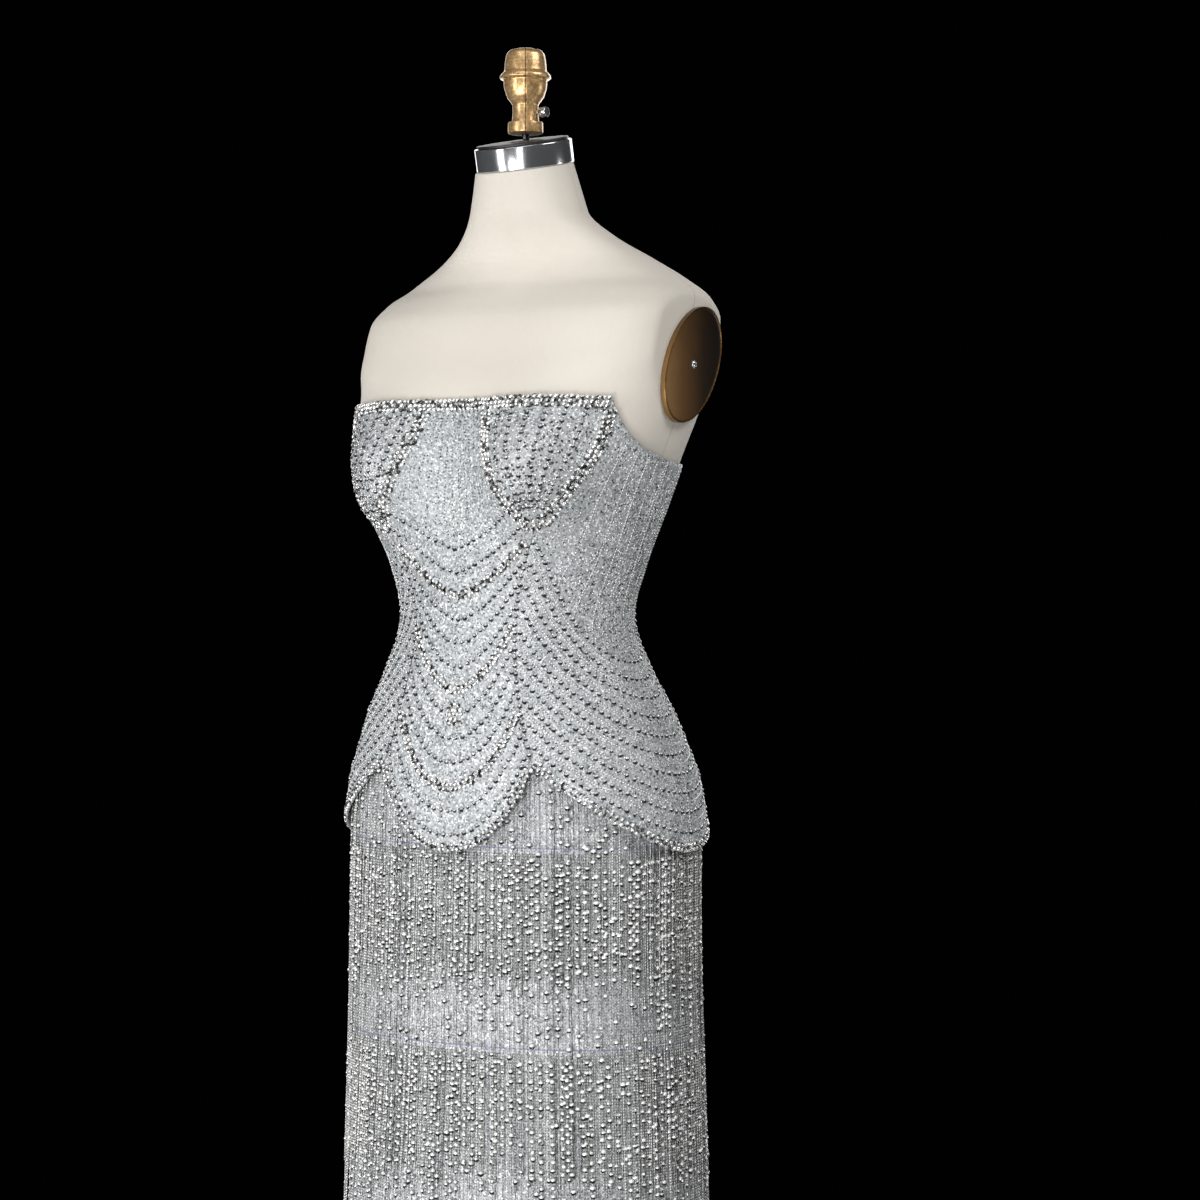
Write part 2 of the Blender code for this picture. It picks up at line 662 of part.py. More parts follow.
def neck_and_finial(chrome, dark, gold):
    """The neck's chrome band and dark disc, and the turned finial on its rod."""
    profile = cylinder_profile(NECK_RADIUS, -BAND_HALF, BAND_HALF, BAND_CHAMFER)
    band = turned("neck_band", profile, NECK_SEGMENTS, chrome)
    disc_low = BAND_HALF + SEAM_GAP
    profile = cylinder_profile(DISC_RADIUS, disc_low, disc_low + DISC_THICKNESS)
    disc = turned("neck_disc", profile, NECK_SEGMENTS, dark)
    for piece in (band, disc):
        piece.location = NECK_CENTRE
        piece.rotation_euler = (NECK_TILT, 0.0, 0.0)
    turned("finial_rod", cylinder_profile(ROD_RADIUS, ROD_BOTTOM, FINIAL_BOTTOM - SEAM_GAP), 12, chrome)
    finial = turned("finial", FINIAL, FINIAL_SEGMENTS, gold)
    finial.location.z = FINIAL_BOTTOM
    neck, end = SCREW_NECK_LENGTH, SCREW_NECK_LENGTH + SCREW_HEAD_LENGTH
    profile = (
        (0.0, end), (SCREW_HEAD_RADIUS - SCREW_CHAMFER, end), (SCREW_HEAD_RADIUS, end - SCREW_CHAMFER),
        (SCREW_HEAD_RADIUS, neck), (SCREW_NECK_RADIUS, neck), (SCREW_NECK_RADIUS, 0.0), (0.0, 0.0),
    )
    screw = turned("thumb_screw", profile, 16, chrome)
    screw.rotation_euler = (0.0, math.pi / 2, 0.0)
    screw.location = (FINIAL_SOCKET + SEAM_GAP, 0.0, SCREW_HEIGHT)


def arm_plates(bronze, chrome):
    """The oval plates over the form's arm ends, tops leaned backward, each with its screw."""
    floor = PLATE_THICKNESS - PLATE_DISH
    inner = (PLATE_HALF_DEPTH - PLATE_RIM) / PLATE_HALF_DEPTH
    edge = (PLATE_HALF_DEPTH - PLATE_CHAMFER) / PLATE_HALF_DEPTH
    profile = (
        (0.0, floor), (inner, floor), (inner, PLATE_THICKNESS), (edge, PLATE_THICKNESS),
        (1.0, PLATE_THICKNESS - PLATE_CHAMFER), (1.0, 0.0), (0.0, 0.0),
    )
    for name, side in (("left", 1), ("right", -1)):
        outward = Matrix.Rotation(-PLATE_LEAN, 4, "X") @ Matrix.Rotation(side * math.pi / 2, 4, "Y")
        oval = Matrix.Diagonal((PLATE_HALF_HEIGHT, PLATE_HALF_DEPTH, 1.0, 1.0))
        plate = turned("arm_plate_" + name, profile, PLATE_SEGMENTS, bronze)
        plate.data.transform(outward @ oval)
        plate.location = (side * (ARM_PLANE + SEAM_GAP), PLATE_Y, PLATE_Z)
        screw_profile = cylinder_profile(PLATE_SCREW_RADIUS, 0.0, PLATE_SCREW_HEIGHT, SCREW_CHAMFER)
        screw = turned("plate_screw_" + name, screw_profile, 14, chrome)
        screw.data.transform(outward)
        screw.location = (side * (ARM_PLANE + 2 * SEAM_GAP + floor), PLATE_Y, PLATE_Z)


def stand(steel):
    """The pole under the form and the round base that stands on the floor."""
    pole_low = BASE[0][1] + SEAM_GAP
    turned("pole", cylinder_profile(POLE_RADIUS, pole_low, FORM_BOTTOM - SEAM_GAP), 20, steel)
    turned("base", BASE, BASE_SEGMENTS, steel)


def block(name, size, centre, surface):
    bpy.ops.mesh.primitive_cube_add(size=1.0, location=centre)
    made = bpy.context.object
    made.name = name
    made.data.transform(Matrix.Diagonal((*size, 1.0)))
    made.data.materials.append(surface)
    return made


def barrel(name, radius, length, centre, surface):
    bpy.ops.mesh.primitive_cylinder_add(vertices=16, radius=radius, depth=length, location=centre)
    made = bpy.context.object
    made.name = name
    made.data.transform(Matrix.Rotation(math.pi / 2, 4, "Y"))
    made.data.materials.append(surface)
    return made


def combine(target, other, operation):
    """Apply a Boolean of one object on another, and drop the other."""
    change = target.modifiers.new("change", "BOOLEAN")
    change.operation = operation
    change.solver = "EXACT"
    change.object = other
    bpy.context.view_layer.objects.active = target
    bpy.ops.object.modifier_apply(modifier=change.name)
    bpy.data.objects.remove(other, do_unlink=True)


def zip_fastener(metal):
    """The concealed zip's slider on the centre-back seam, and its pull tab on the slider's pin."""
    out = bodice_out(ZIP_HEIGHT) + BODICE_WALL + 2 * SEAM_GAP
    seat = layer_point(CENTRE_BACK, ZIP_HEIGHT, out)
    outward = (layer_point(CENTRE_BACK, ZIP_HEIGHT, out + PIN_REACH) - seat).normalized()
    lean = math.atan2(outward.z, outward.y)

    body_size = (SLIDER_WIDTH, SLIDER_THICKNESS, SLIDER_LENGTH)
    slider = block("zip_slider", body_size, (0, SLIDER_THICKNESS / 2, 0), metal)
    ear_size = (EAR_THICKNESS, PIN_REACH + EAR_MARGIN - OVERLAP, 2 * EAR_MARGIN)
    for side in (-1, 1):
        ear_centre = (side * (EAR_SPAN + EAR_THICKNESS / 2), OVERLAP + ear_size[1] / 2, 0)
        combine(slider, block("ear", ear_size, ear_centre, metal), "UNION")
    pin = barrel("pin", PIN_RADIUS, 2 * EAR_SPAN + EAR_THICKNESS, (0, PIN_REACH, 0), metal)
    combine(slider, pin, "UNION")
    slider.data.transform(Matrix.Translation(seat) @ Matrix.Rotation(lean, 4, "X"))

    hinge = seat + outward * PIN_REACH
    tab = barrel("zip_pull", TAB_BARREL, 2 * TAB_HALF_WIDTH, (0, 0, 0), metal)
    tongue_size = (2 * TAB_HALF_WIDTH, TAB_THICKNESS, TAB_LENGTH)
    tongue_centre = (0, 0, -TAB_LENGTH / 2 - TAB_BORE - OVERLAP)
    combine(tab, block("tongue", tongue_size, tongue_centre, metal), "UNION")
    combine(tab, barrel("bore", TAB_BORE, 4 * TAB_HALF_WIDTH, (0, 0, 0), metal), "DIFFERENCE")
    tab.location = hinge


def main():
    for old in list(bpy.data.objects):
        bpy.data.objects.remove(old, do_unlink=True)
    beaded = material("beaded cloth", BEADED_SILVER)
    mesh_cloth = material("mesh cloth", MESH_SILVER)
    chrome = material("chrome", CHROME)
    steel = material("black steel", BLACK_STEEL)

    torso(material("linen", LINEN))
    neck_and_finial(chrome, material("dark disc", DARK_DISC), material("gilt wood", GOLD_WOOD))
    arm_plates(material("bronze", BRONZE), chrome)
    stand(steel)
    bodice(beaded)
    ropes(beaded)
    skirt(mesh_cloth)
    for number, (strip_top, strand_end, steps) in enumerate(FRINGE_TIERS, 1):
        stagger = 0.5 * (number % 2)
        fringe_tier("fringe_tier_%d" % number, strip_top, strand_end, steps, stagger, beaded)
    zip_fastener(chrome)


main()
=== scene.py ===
# %% [markdown]
# # A beaded fringe gown on a dress form
# This lesson dresses a plain model of a strapless evening gown. The real gown is silver mesh
# sewn all over with seed beads, with ropes of crystals, dotted rows of cup sequins, a scalloped
# peplum and a column skirt that is hidden under bead fringe. It stands on a linen dress form with
# a chrome neck ring, a turned wooden finial and bronze plates at the arms.

# %% Load the model
import math

import bpy
import numpy as np
from mathutils import Matrix, Vector


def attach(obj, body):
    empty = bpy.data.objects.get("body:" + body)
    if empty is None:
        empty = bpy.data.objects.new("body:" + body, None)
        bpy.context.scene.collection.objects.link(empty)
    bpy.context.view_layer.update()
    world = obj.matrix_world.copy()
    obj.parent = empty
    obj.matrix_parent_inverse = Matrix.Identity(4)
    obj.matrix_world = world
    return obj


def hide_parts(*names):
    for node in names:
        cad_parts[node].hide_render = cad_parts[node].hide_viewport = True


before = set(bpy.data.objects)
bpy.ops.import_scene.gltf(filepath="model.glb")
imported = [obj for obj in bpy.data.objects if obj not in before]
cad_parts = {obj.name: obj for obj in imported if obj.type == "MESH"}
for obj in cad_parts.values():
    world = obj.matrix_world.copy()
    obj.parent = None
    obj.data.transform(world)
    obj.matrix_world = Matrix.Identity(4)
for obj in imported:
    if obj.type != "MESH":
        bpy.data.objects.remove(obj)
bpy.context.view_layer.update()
BODY = "gown_and_form"
draws = np.random.default_rng(7)

# %% [markdown]
# ## Camera
# The picture looks at the form from 34 degrees round toward the wearer's left, level with the
# waist. A long lens at three metres keeps the perspective as flat as in the picture. The body
# stands left of the middle, so the lens is shifted instead of turned.

# %% Camera
PICTURE = 1200
VIEW_TURN = math.radians(34.0)
CAMERA_DISTANCE = 3.0
CAMERA_HEIGHT = 1.064
PIXELS_PER_METRE = 1050.0
AXIS_COLUMN = 525.5
SENSOR = 36.0

camera_data = bpy.data.cameras.new("camera")
camera_data.sensor_width = SENSOR
camera_data.lens = PIXELS_PER_METRE * CAMERA_DISTANCE / PICTURE * SENSOR
camera_data.shift_x = (PICTURE / 2 - AXIS_COLUMN) / PICTURE
camera = bpy.data.objects.new("camera", camera_data)
bpy.context.collection.objects.link(camera)
camera.location = (
    math.sin(VIEW_TURN) * CAMERA_DISTANCE, -math.cos(VIEW_TURN) * CAMERA_DISTANCE, CAMERA_HEIGHT)
camera.rotation_euler = (math.pi / 2, 0.0, VIEW_TURN)
bpy.context.scene.camera = camera
print("lens", camera_data.lens, "mm")

# %% [markdown]
# ## Helpers
# A finish is a small graph of nodes. One function adds a node of any kind, sets its settings and
# links or fills its inputs. A node given as an input stands for its first output. Colours are
# written as sRGB hex, as a paint chart gives them, and one function turns them to the linear values
# that the shader wants.


# %% Helpers for colours and nodes
def linear(colour_hex):
    channels = [int(colour_hex[i:i + 2], 16) / 255 for i in (0, 2, 4)]
    return [c / 12.92 if c <= 0.04045 else ((c + 0.055) / 1.055) ** 2.4 for c in channels] + [1.0]


def add_node(tree, kind, inputs=None, stops=(), **settings):
    """Add a node with its settings and its inputs. A ramp's stops are (place, hex) pairs."""
    node = tree.nodes.new("ShaderNode" + kind)
    for name, value in settings.items():
        setattr(node, name, value)
    while stops and len(node.color_ramp.elements) < len(stops):
        node.color_ramp.elements.new(0.5)
    for number, (place, colour_hex) in enumerate(stops):
        node.color_ramp.elements[number].position = place
        node.color_ramp.elements[number].color = linear(colour_hex)
    for name, value in (inputs or {}).items():
        if isinstance(value, bpy.types.Node):
            value = value.outputs[0]
        if isinstance(value, bpy.types.NodeSocket):
            tree.links.new(value, node.inputs[name])
        else:
            node.inputs[name].default_value = value
    return node


def new_finish(name, **sockets):
    """A material with a Principled shader whose sockets are set by name."""
    finish = bpy.data.materials.new(name)
    finish.use_nodes = True
    shader = finish.node_tree.nodes["Principled BSDF"]
    for socket, value in sockets.items():
        shader.inputs[socket.replace("_", " ")].default_value = value
    print("finish:", name)
    return finish, finish.node_tree, shader


def thin_line(tree, value, place, half_width):
    """1 on a thin line where the value is near a place, and 0 away from it."""
    off = add_node(tree, "Math", {0: value, 1: place}, operation="SUBTRACT")
    off = add_node(tree, "Math", {0: off}, operation="ABSOLUTE")
    off = add_node(tree, "Math", {0: off, 1: half_width}, operation="DIVIDE")
    return add_node(tree, "Math", {0: 1.0, 1: off}, operation="SUBTRACT", use_clamp=True)


# %% [markdown]
# ## The body's surface
# All the cloth follows the form, so every bead is placed by two numbers: how far round the body
# it is, and how high. A table of measured sections gives the body's half width, its depth in front
# and behind, and how square the oval is. A smooth curve runs through the table, and two soft
# mounds make the bust. Layers of cloth then stand a few millimetres off that surface.

# %% Sections of the body
# Columns: height, half width, depth in front, depth behind, squareness of the oval.
FIGURE = np.array((
    (0.000, 0.186, 0.160, 0.160, 2.20),
    (0.300, 0.178, 0.141, 0.139, 2.28),
    (0.600, 0.171, 0.124, 0.119, 2.34),
    (0.790, 0.168, 0.118, 0.111, 2.35),
    (0.850, 0.168, 0.116, 0.111, 2.35),
    (0.900, 0.162, 0.115, 0.107, 2.35),
    (0.950, 0.148, 0.112, 0.095, 2.35),
    (1.000, 0.124, 0.108, 0.082, 2.30),
    (1.050, 0.110, 0.107, 0.079, 2.15),
    (1.100, 0.122, 0.111, 0.087, 2.20),
    (1.150, 0.139, 0.115, 0.097, 2.35),
    (1.200, 0.155, 0.114, 0.106, 2.50),
    (1.235, 0.166, 0.108, 0.115, 2.55),
    (1.260, 0.171, 0.099, 0.122, 2.70),
    (1.290, 0.173, 0.084, 0.128, 3.30),
    (1.330, 0.172, 0.066, 0.128, 3.40),
    (1.350, 0.165, 0.046, 0.118, 3.10),
    (1.367, 0.146, 0.028, 0.104, 2.60),
    (1.387, 0.115, 0.022, 0.090, 2.30),
    (1.407, 0.084, 0.030, 0.073, 2.10),
    (1.430, 0.060, 0.044, 0.058, 2.00),
    (1.460, 0.049, 0.048, 0.048, 2.00),
    (1.505, 0.046, 0.046, 0.046, 2.00),
))
print(len(FIGURE), "sections, from", FIGURE[0, 0], "to", FIGURE[-1, 0], "m")

# %% Measures of the form and the gown
SECTION_ASPECT = 1.4
ARM_PLANE = 0.1655
BUST = {"side": 0.092, "height": 1.180, "width": 0.052, "rise": 0.062, "fall": 0.046, "power": 2.2}
BUST_REACHES_TO = 1.368
FORM_BUST = 0.038
GOWN_BUST = 0.044
# Columns: height, how far the bodice stands off the body.
STAND_OFF = np.array((
    (0.820, 0.0130), (0.860, 0.0110), (0.898, 0.0098), (0.912, 0.0078),
    (0.935, 0.0056), (0.995, 0.0038), (1.030, 0.0018), (1.300, 0.0018),
))
BODICE_WALL = 0.0016
UNDERARM_HEIGHT = 1.190
NECKLINE_HEIGHT = 1.248
LOBE_TIP = 0.832
LOBE_NOTCH = 0.913
SKIRT_TOP = 0.985
HEM_HEIGHT = 0.012
print("neckline at", NECKLINE_HEIGHT, "m, hem at", HEM_HEIGHT, "m")


# %% Read a table smoothly
def read_table(table, at):
    """Read a table's columns at many places, with a smooth curve that never overshoots."""
    at = np.clip(at, table[0, 0], table[-1, 0])
    spans = np.diff(table[:, 0])
    rises = np.diff(table[:, 1:], axis=0) / spans[:, None]
    slopes = np.empty_like(table[:, 1:])
    slopes[0], slopes[-1] = rises[0], rises[-1]
    product = rises[:-1] * rises[1:]
    total = np.where(product > 0, rises[:-1] + rises[1:], 1.0)
    slopes[1:-1] = np.where(product > 0, 2 * product / total, 0.0)
    low = np.minimum(np.searchsorted(table[1:, 0], at), len(table) - 2)
    part = ((at - table[low, 0]) / spans[low])[..., None]
    span = spans[low][..., None]
    value = (2 * part ** 3 - 3 * part ** 2 + 1) * table[low, 1:]
    value = value + (part ** 3 - 2 * part ** 2 + part) * span * slopes[low]
    value = value + (3 * part ** 2 - 2 * part ** 3) * table[low + 1, 1:]
    value = value + (part ** 3 - part ** 2) * span * slopes[low + 1]
    return np.moveaxis(value, -1, 0)


# %% Points of the surface
def figure(turn, height, bust=GOWN_BUST):
    """Points of the body's surface at turns in degrees and heights in metres."""
    turn, height = np.broadcast_arrays(np.asarray(turn, float), np.asarray(height, float))
    half_width, front, back, squareness = read_table(FIGURE, height)
    angle = np.arctan2(SECTION_ASPECT * np.sin(np.radians(turn)), np.cos(np.radians(turn)))
    half_depth = (front + back) / 2
    radius = (np.abs(np.sin(angle) / half_width) ** squareness
              + np.abs(np.cos(angle) / half_depth) ** squareness) ** (-1 / squareness)
    x = radius * np.sin(angle)
    y = (back - front) / 2 - radius * np.cos(angle)
    reach = np.where(height > BUST["height"], BUST["rise"], BUST["fall"])
    down = np.abs(height - BUST["height"]) / reach
    push = sum(
        np.exp(-(np.abs(x - side) / BUST["width"]) ** BUST["power"] - down ** BUST["power"])
        for side in (-BUST["side"], BUST["side"]))
    forward = bust * push * np.sqrt(np.maximum(0.0, np.cos(angle)))
    y = np.where((y < 0) & (height < BUST_REACHES_TO), y - forward, y)
    x = np.where(height > UNDERARM_HEIGHT, np.clip(x, -ARM_PLANE, ARM_PLANE), x)
    return np.stack([x, y, height], axis=-1)


print("waist half width", round(float(figure(90.0, 1.05)[0]), 4), "m")


# %% Stand something on the surface
def unit(vectors):
    return vectors / np.linalg.norm(vectors, axis=-1, keepdims=True)


def stand_on(turn, height, out, bust=GOWN_BUST):
    """Places at a distance out from the body, with the directions across, up and outward."""
    turn, height = np.asarray(turn, float), np.asarray(height, float)
    across = unit(figure(turn + 0.5, height, bust) - figure(turn - 0.5, height, bust))
    up = figure(turn, height + 0.002, bust) - figure(turn, height - 0.002, bust)
    outward = unit(np.cross(across, up))
    up = np.cross(outward, across)
    place = figure(turn, height, bust) + outward * np.asarray(out)[..., None]
    return place, across, up, outward


def layer(turn, height, out, bust=GOWN_BUST):
    return stand_on(turn, height, out, bust)[0]


def bodice_out(height):
    return read_table(STAND_OFF, np.asarray(height, float))[0]


print("the bodice stands", round(float(bodice_out(1.05)) * 1000, 1), "mm off at the waist")

# %% [markdown]
# ## Seams and edges
# A seam is a curve of a few (turn, height) points. The panels are the areas between seams, and
# each is filled with an even grid. Only the wearer's left is written down, and the right mirrors
# it. The peplum's hem is a row of round scallops, one in front, one on each hip and one behind.

# %% Seams
METRES_PER_DEGREE = 0.0025
CURVE_DENSITY = 20
SEAM_GAP = 0.0003
CUP_OUTLINE = (
    (11.5, 1.2480), (16.6, 1.2070), (25.2, 1.1600), (33.0, 1.1340),
    (43.5, 1.1480), (52.6, 1.1830), (55.2, 1.2150), (53.5, 1.2477),
)
FRONT_SEAM = ((33.0, 1.1340), (28.0, 1.0900), (25.0, 1.0300), (27.0, 0.9600), (30.0, LOBE_NOTCH))
SIDE_SEAM = ((95.0, 1.1940), (96.0, 1.1200), (96.0, 1.0400), (94.0, 0.9300), (92.0, LOBE_TIP))
BACK_SEAM = (
    (138.0, UNDERARM_HEIGHT), (144.0, 1.1100), (147.0, 1.0400), (151.0, 0.9600), (154.0, LOBE_NOTCH),
)
CENTRE_BACK = 180.0
SIDE_TURN = 92.0
ARMHOLE = ((53.5, 1.2477), (56.5, 1.2360), (64.0, 1.2170), (75.0, 1.2040), (95.0, 1.1940))
# Columns: turn of a scallop's middle, half its span in degrees, how round it is.
LOBES = ((0.0, 30.0, 2.4), (SIDE_TURN, 62.0, 1.9), (CENTRE_BACK, 26.0, 2.2))
print("scallops", round((LOBE_NOTCH - LOBE_TIP) * 1000), "mm deep")


# %% Curves over the body
def curve_points(controls, steps):
    """Evenly spaced points on a smooth curve through (turn, height) controls."""
    dense, count = [], len(controls)
    for index in range(count - 1):
        four = [controls[min(max(index + k, 0), count - 1)] for k in (-1, 0, 1, 2)]
        for step in range(CURVE_DENSITY):
            part = step / CURVE_DENSITY
            dense.append(tuple(
                0.5 * (2 * b + (c - a) * part + (2 * a - 5 * b + 4 * c - d) * part ** 2
                       + (3 * b - a - 3 * c + d) * part ** 3)
                for a, b, c, d in zip(*four)))
    dense.append(tuple(controls[-1]))
    return evenly(dense, steps)


def evenly(path, steps):
    """The same path as evenly spaced points."""
    path = np.array(path, float)
    pieces = np.hypot(np.diff(path[:, 0]) * METRES_PER_DEGREE, np.diff(path[:, 1]))
    lengths = np.concatenate([[0.0], np.cumsum(pieces)])
    wanted = np.linspace(0.0, lengths[-1], steps + 1)
    return np.stack([np.interp(wanted, lengths, path[:, axis]) for axis in (0, 1)], axis=1)


def shifted(path, distance):
    """A seam moved sideways, positive toward greater turn on a seam that runs down."""
    path = np.array(path, float)
    step = np.empty_like(path)
    step[1:-1] = path[2:] - path[:-2]
    step[0], step[-1] = path[1] - path[0], path[-1] - path[-2]
    across, down = step[:, 0] * METRES_PER_DEGREE, step[:, 1]
    scale = distance / np.hypot(across, down)
    return path + np.stack([-down * scale / METRES_PER_DEGREE, across * scale], axis=1)


def line_points(start, end, steps):
    return np.linspace(start, end, steps + 1)


# %% The scalloped hem
def hem_height(turn):
    """Height of the peplum's scalloped hem."""
    turn = np.abs((np.asarray(turn, float) + 180.0) % 360.0 - 180.0)
    height = np.full_like(turn, LOBE_NOTCH)
    for centre, half_span, power in LOBES:
        off = np.abs(turn - centre) / half_span
        height = np.where(off <= 1.0, LOBE_TIP + (LOBE_NOTCH - LOBE_TIP) * off ** power, height)
    return height


def hem_points(turn_a, turn_b, steps):
    turns = np.linspace(turn_a, turn_b, steps + 1)
    return np.stack([turns, hem_height(turns)], axis=1)


print("hem over the hip", round(float(hem_height(SIDE_TURN)), 3), "m high")


# %% Fill an outline with a grid
def patch(left, right, top, bottom):
    """Fill four edge curves with a grid of (turn, height), rows from the top down."""
    left, right, top, bottom = (np.array(edge, float) for edge in (left, right, top, bottom))
    down = np.linspace(0.0, 1.0, len(left))[:, None, None]
    along = np.linspace(0.0, 1.0, len(top))[None, :, None]
    sides = (1 - along) * left[:, None] + along * right[:, None]
    ends = (1 - down) * top[None] + down * bottom[None]
    corners = (1 - down) * ((1 - along) * left[0] + along * right[0])
    corners = corners + down * ((1 - along) * left[-1] + along * right[-1])
    return sides + ends - corners


def relaxed(grid, rounds):
    """Even out a patch: each point inside it moves to the middle of its four neighbours."""
    for _ in range(rounds):
        grid[1:-1, 1:-1] = (grid[:-2, 1:-1] + grid[2:, 1:-1] + grid[1:-1, :-2] + grid[1:-1, 2:]) / 4
    return grid


# %% [markdown]
# ## Mesh builders
# A cloth panel starts as a grid primitive. Its points are moved onto the body, and the Solidify
# modifier gives it the thickness of beaded mesh. Thousands of beads are one small stone, modelled
# once and copied to a list of places. Each copy keeps a random tone, so no two catch the light
# alike.

# %% Select, settle and finish a piece
def deselect():
    if bpy.context.object and bpy.context.object.mode != "OBJECT":
        bpy.ops.object.mode_set(mode="OBJECT")
    bpy.ops.object.select_all(action="DESELECT")


def settle(piece):
    """Move an object's place, turn and scale into its mesh."""
    deselect()
    piece.select_set(True)
    bpy.context.view_layer.objects.active = piece
    bpy.ops.object.transform_apply(location=True, rotation=True, scale=True)
    return piece


def apply_modifiers(piece):
    deselect()
    piece.select_set(True)
    bpy.context.view_layer.objects.active = piece
    for modifier in list(piece.modifiers):
        bpy.ops.object.modifier_apply(modifier=modifier.name)
    return piece


def finished(piece, finish, slot, *nodes):
    """Give a piece its finish and let it stand for its nodes. The slot is not used."""
    piece.data.materials.clear()
    piece.data.materials.append(finish)
    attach(piece, BODY)
    if nodes:
        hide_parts(*nodes)
    return piece


# %% Cloth panels
def cloth_panel(name, turns, heights, outs, wall, bust=GOWN_BUST):
    """A sheet over the body from grids of turn and height, rows from the bottom up."""
    rows, columns = turns.shape
    deselect()
    bpy.ops.mesh.primitive_grid_add(x_subdivisions=columns - 1, y_subdivisions=rows - 1, size=1.0)
    piece = bpy.context.object
    piece.name = name
    points = layer(turns, heights, outs, bust).reshape(-1, 3)
    piece.data.vertices.foreach_set("co", points.ravel())
    flat = np.stack([turns * METRES_PER_DEGREE, heights], axis=-1).reshape(-1, 2)
    corners = np.empty(len(piece.data.loops), dtype=np.int32)
    piece.data.loops.foreach_get("vertex_index", corners)
    piece.data.uv_layers[0].data.foreach_set("uv", flat[corners].ravel())
    piece.data.update()
    piece.data.shade_smooth()
    if wall:
        modifier = piece.modifiers.new("wall", "SOLIDIFY")
        modifier.thickness = wall
        modifier.offset = -1.0
        apply_modifiers(piece)
    return piece


def declare_sheet(turns, heights, outs):
    points = layer(turns, heights, outs)


# %% Meshes from arrays
def mesh_piece(name, points, faces, smooth=False):
    """A piece from arrays of points and of faces that all have the same number of corners."""
    corners = faces.shape[1]
    mesh = bpy.data.meshes.new(name)
    mesh.vertices.add(len(points))
    mesh.vertices.foreach_set("co", np.asarray(points, np.float32).ravel())
    mesh.loops.add(faces.size)
    mesh.loops.foreach_set("vertex_index", faces.astype(np.int32).ravel())
    mesh.polygons.add(len(faces))
    mesh.polygons.foreach_set("loop_start", np.arange(0, faces.size, corners, dtype=np.int32))
    mesh.update(calc_edges=True)
    if smooth:
        mesh.shade_smooth()
    piece = bpy.data.objects.new(name, mesh)
    bpy.context.collection.objects.link(piece)
    return piece


def stone_shape(add, size):
    """Model one small stone with a primitive, and return its points and its triangles."""
    deselect()
    add()
    stone = bpy.context.object
    bpy.ops.object.mode_set(mode="EDIT")
    bpy.ops.mesh.select_all(action="SELECT")
    bpy.ops.mesh.quads_convert_to_tris()
    bpy.ops.object.mode_set(mode="OBJECT")
    points = np.array([vertex.co[:] for vertex in stone.data.vertices]) * size
    faces = np.array([face.vertices[:] for face in stone.data.polygons])
    bpy.data.objects.remove(stone, do_unlink=True)
    return points, faces


# %% Sew one stone to many places
# Middles of each stone's painted shade below and of its painted facet shade
PAINTED_SHADE_BELOW_MIDDLE, PAINTED_FACET_SHADE_MIDDLE = 0.60, 0.66


def sewn_on(name, shape, places, finish, slot, *nodes, tilt, scale, lip=0.0, split=0.0):
    """Copy a stone to many places, each a bit tilted and turned, as one piece.

    A painted shade below darkens each stone toward its lower edge, as under a hanging cup.
    A painted facet shade darkens it toward one edge of its own and lightens the other: painted highlight and
    painted shade of cut facets.
    """
    turn, height, out = (np.asarray(column, float) for column in places)
    place, across, up, outward = stand_on(turn, height, out)
    count = len(place)
    spin = draws.uniform(0, 2 * math.pi, count)
    lean = draws.normal(0, 1, (count, 2)) * tilt
    outward = unit(outward + across * lean[:, :1] + up * lean[:, 1:])
    across = unit(np.cross(up, outward))
    up = np.cross(outward, across)
    sine, cosine = np.sin(spin)[:, None], np.cos(spin)[:, None]
    along, beside = across * cosine + up * sine, up * cosine - across * sine
    axes = np.stack([along, beside, outward], axis=1)
    points, faces = shape
    local = np.einsum("pk,nkj->npj", points, axes) * scale[:, None, None]
    moved = local + place[:, None, :]
    joined = faces[None] + (np.arange(count) * len(points))[:, None, None]
    piece = mesh_piece(name, moved.reshape(-1, 3), joined.reshape(-1, 3))
    tone = piece.data.attributes.new("tone", "FLOAT", "POINT")
    radius = np.abs(points[:, 0]).max() * scale[:, None]
    shades = draws.uniform(0, 1, (count, 1)) * (1.0 - lip - split)
    # Painted shade: darker toward each stone's lower edge
    shades = shades + lip * (PAINTED_SHADE_BELOW_MIDDLE + local[:, :, 2] / radius)
    # Painted highlight and painted shade: lighter toward one side of each stone, darker toward the other
    shades = shades + split * (PAINTED_FACET_SHADE_MIDDLE + points[None, :, 0] * scale[:, None] / radius)
    tone.data.foreach_set("value", np.clip(shades, 0, 1).astype(np.float32).ravel())
    finished(piece, finish, slot, *nodes)
    print(name, count, "stones,", len(joined) * len(faces), "triangles")
    return piece


# %% Strings of beads
# Far enough apart for the finish to give each string its own greys
STRING_KEY_STEP = 0.37


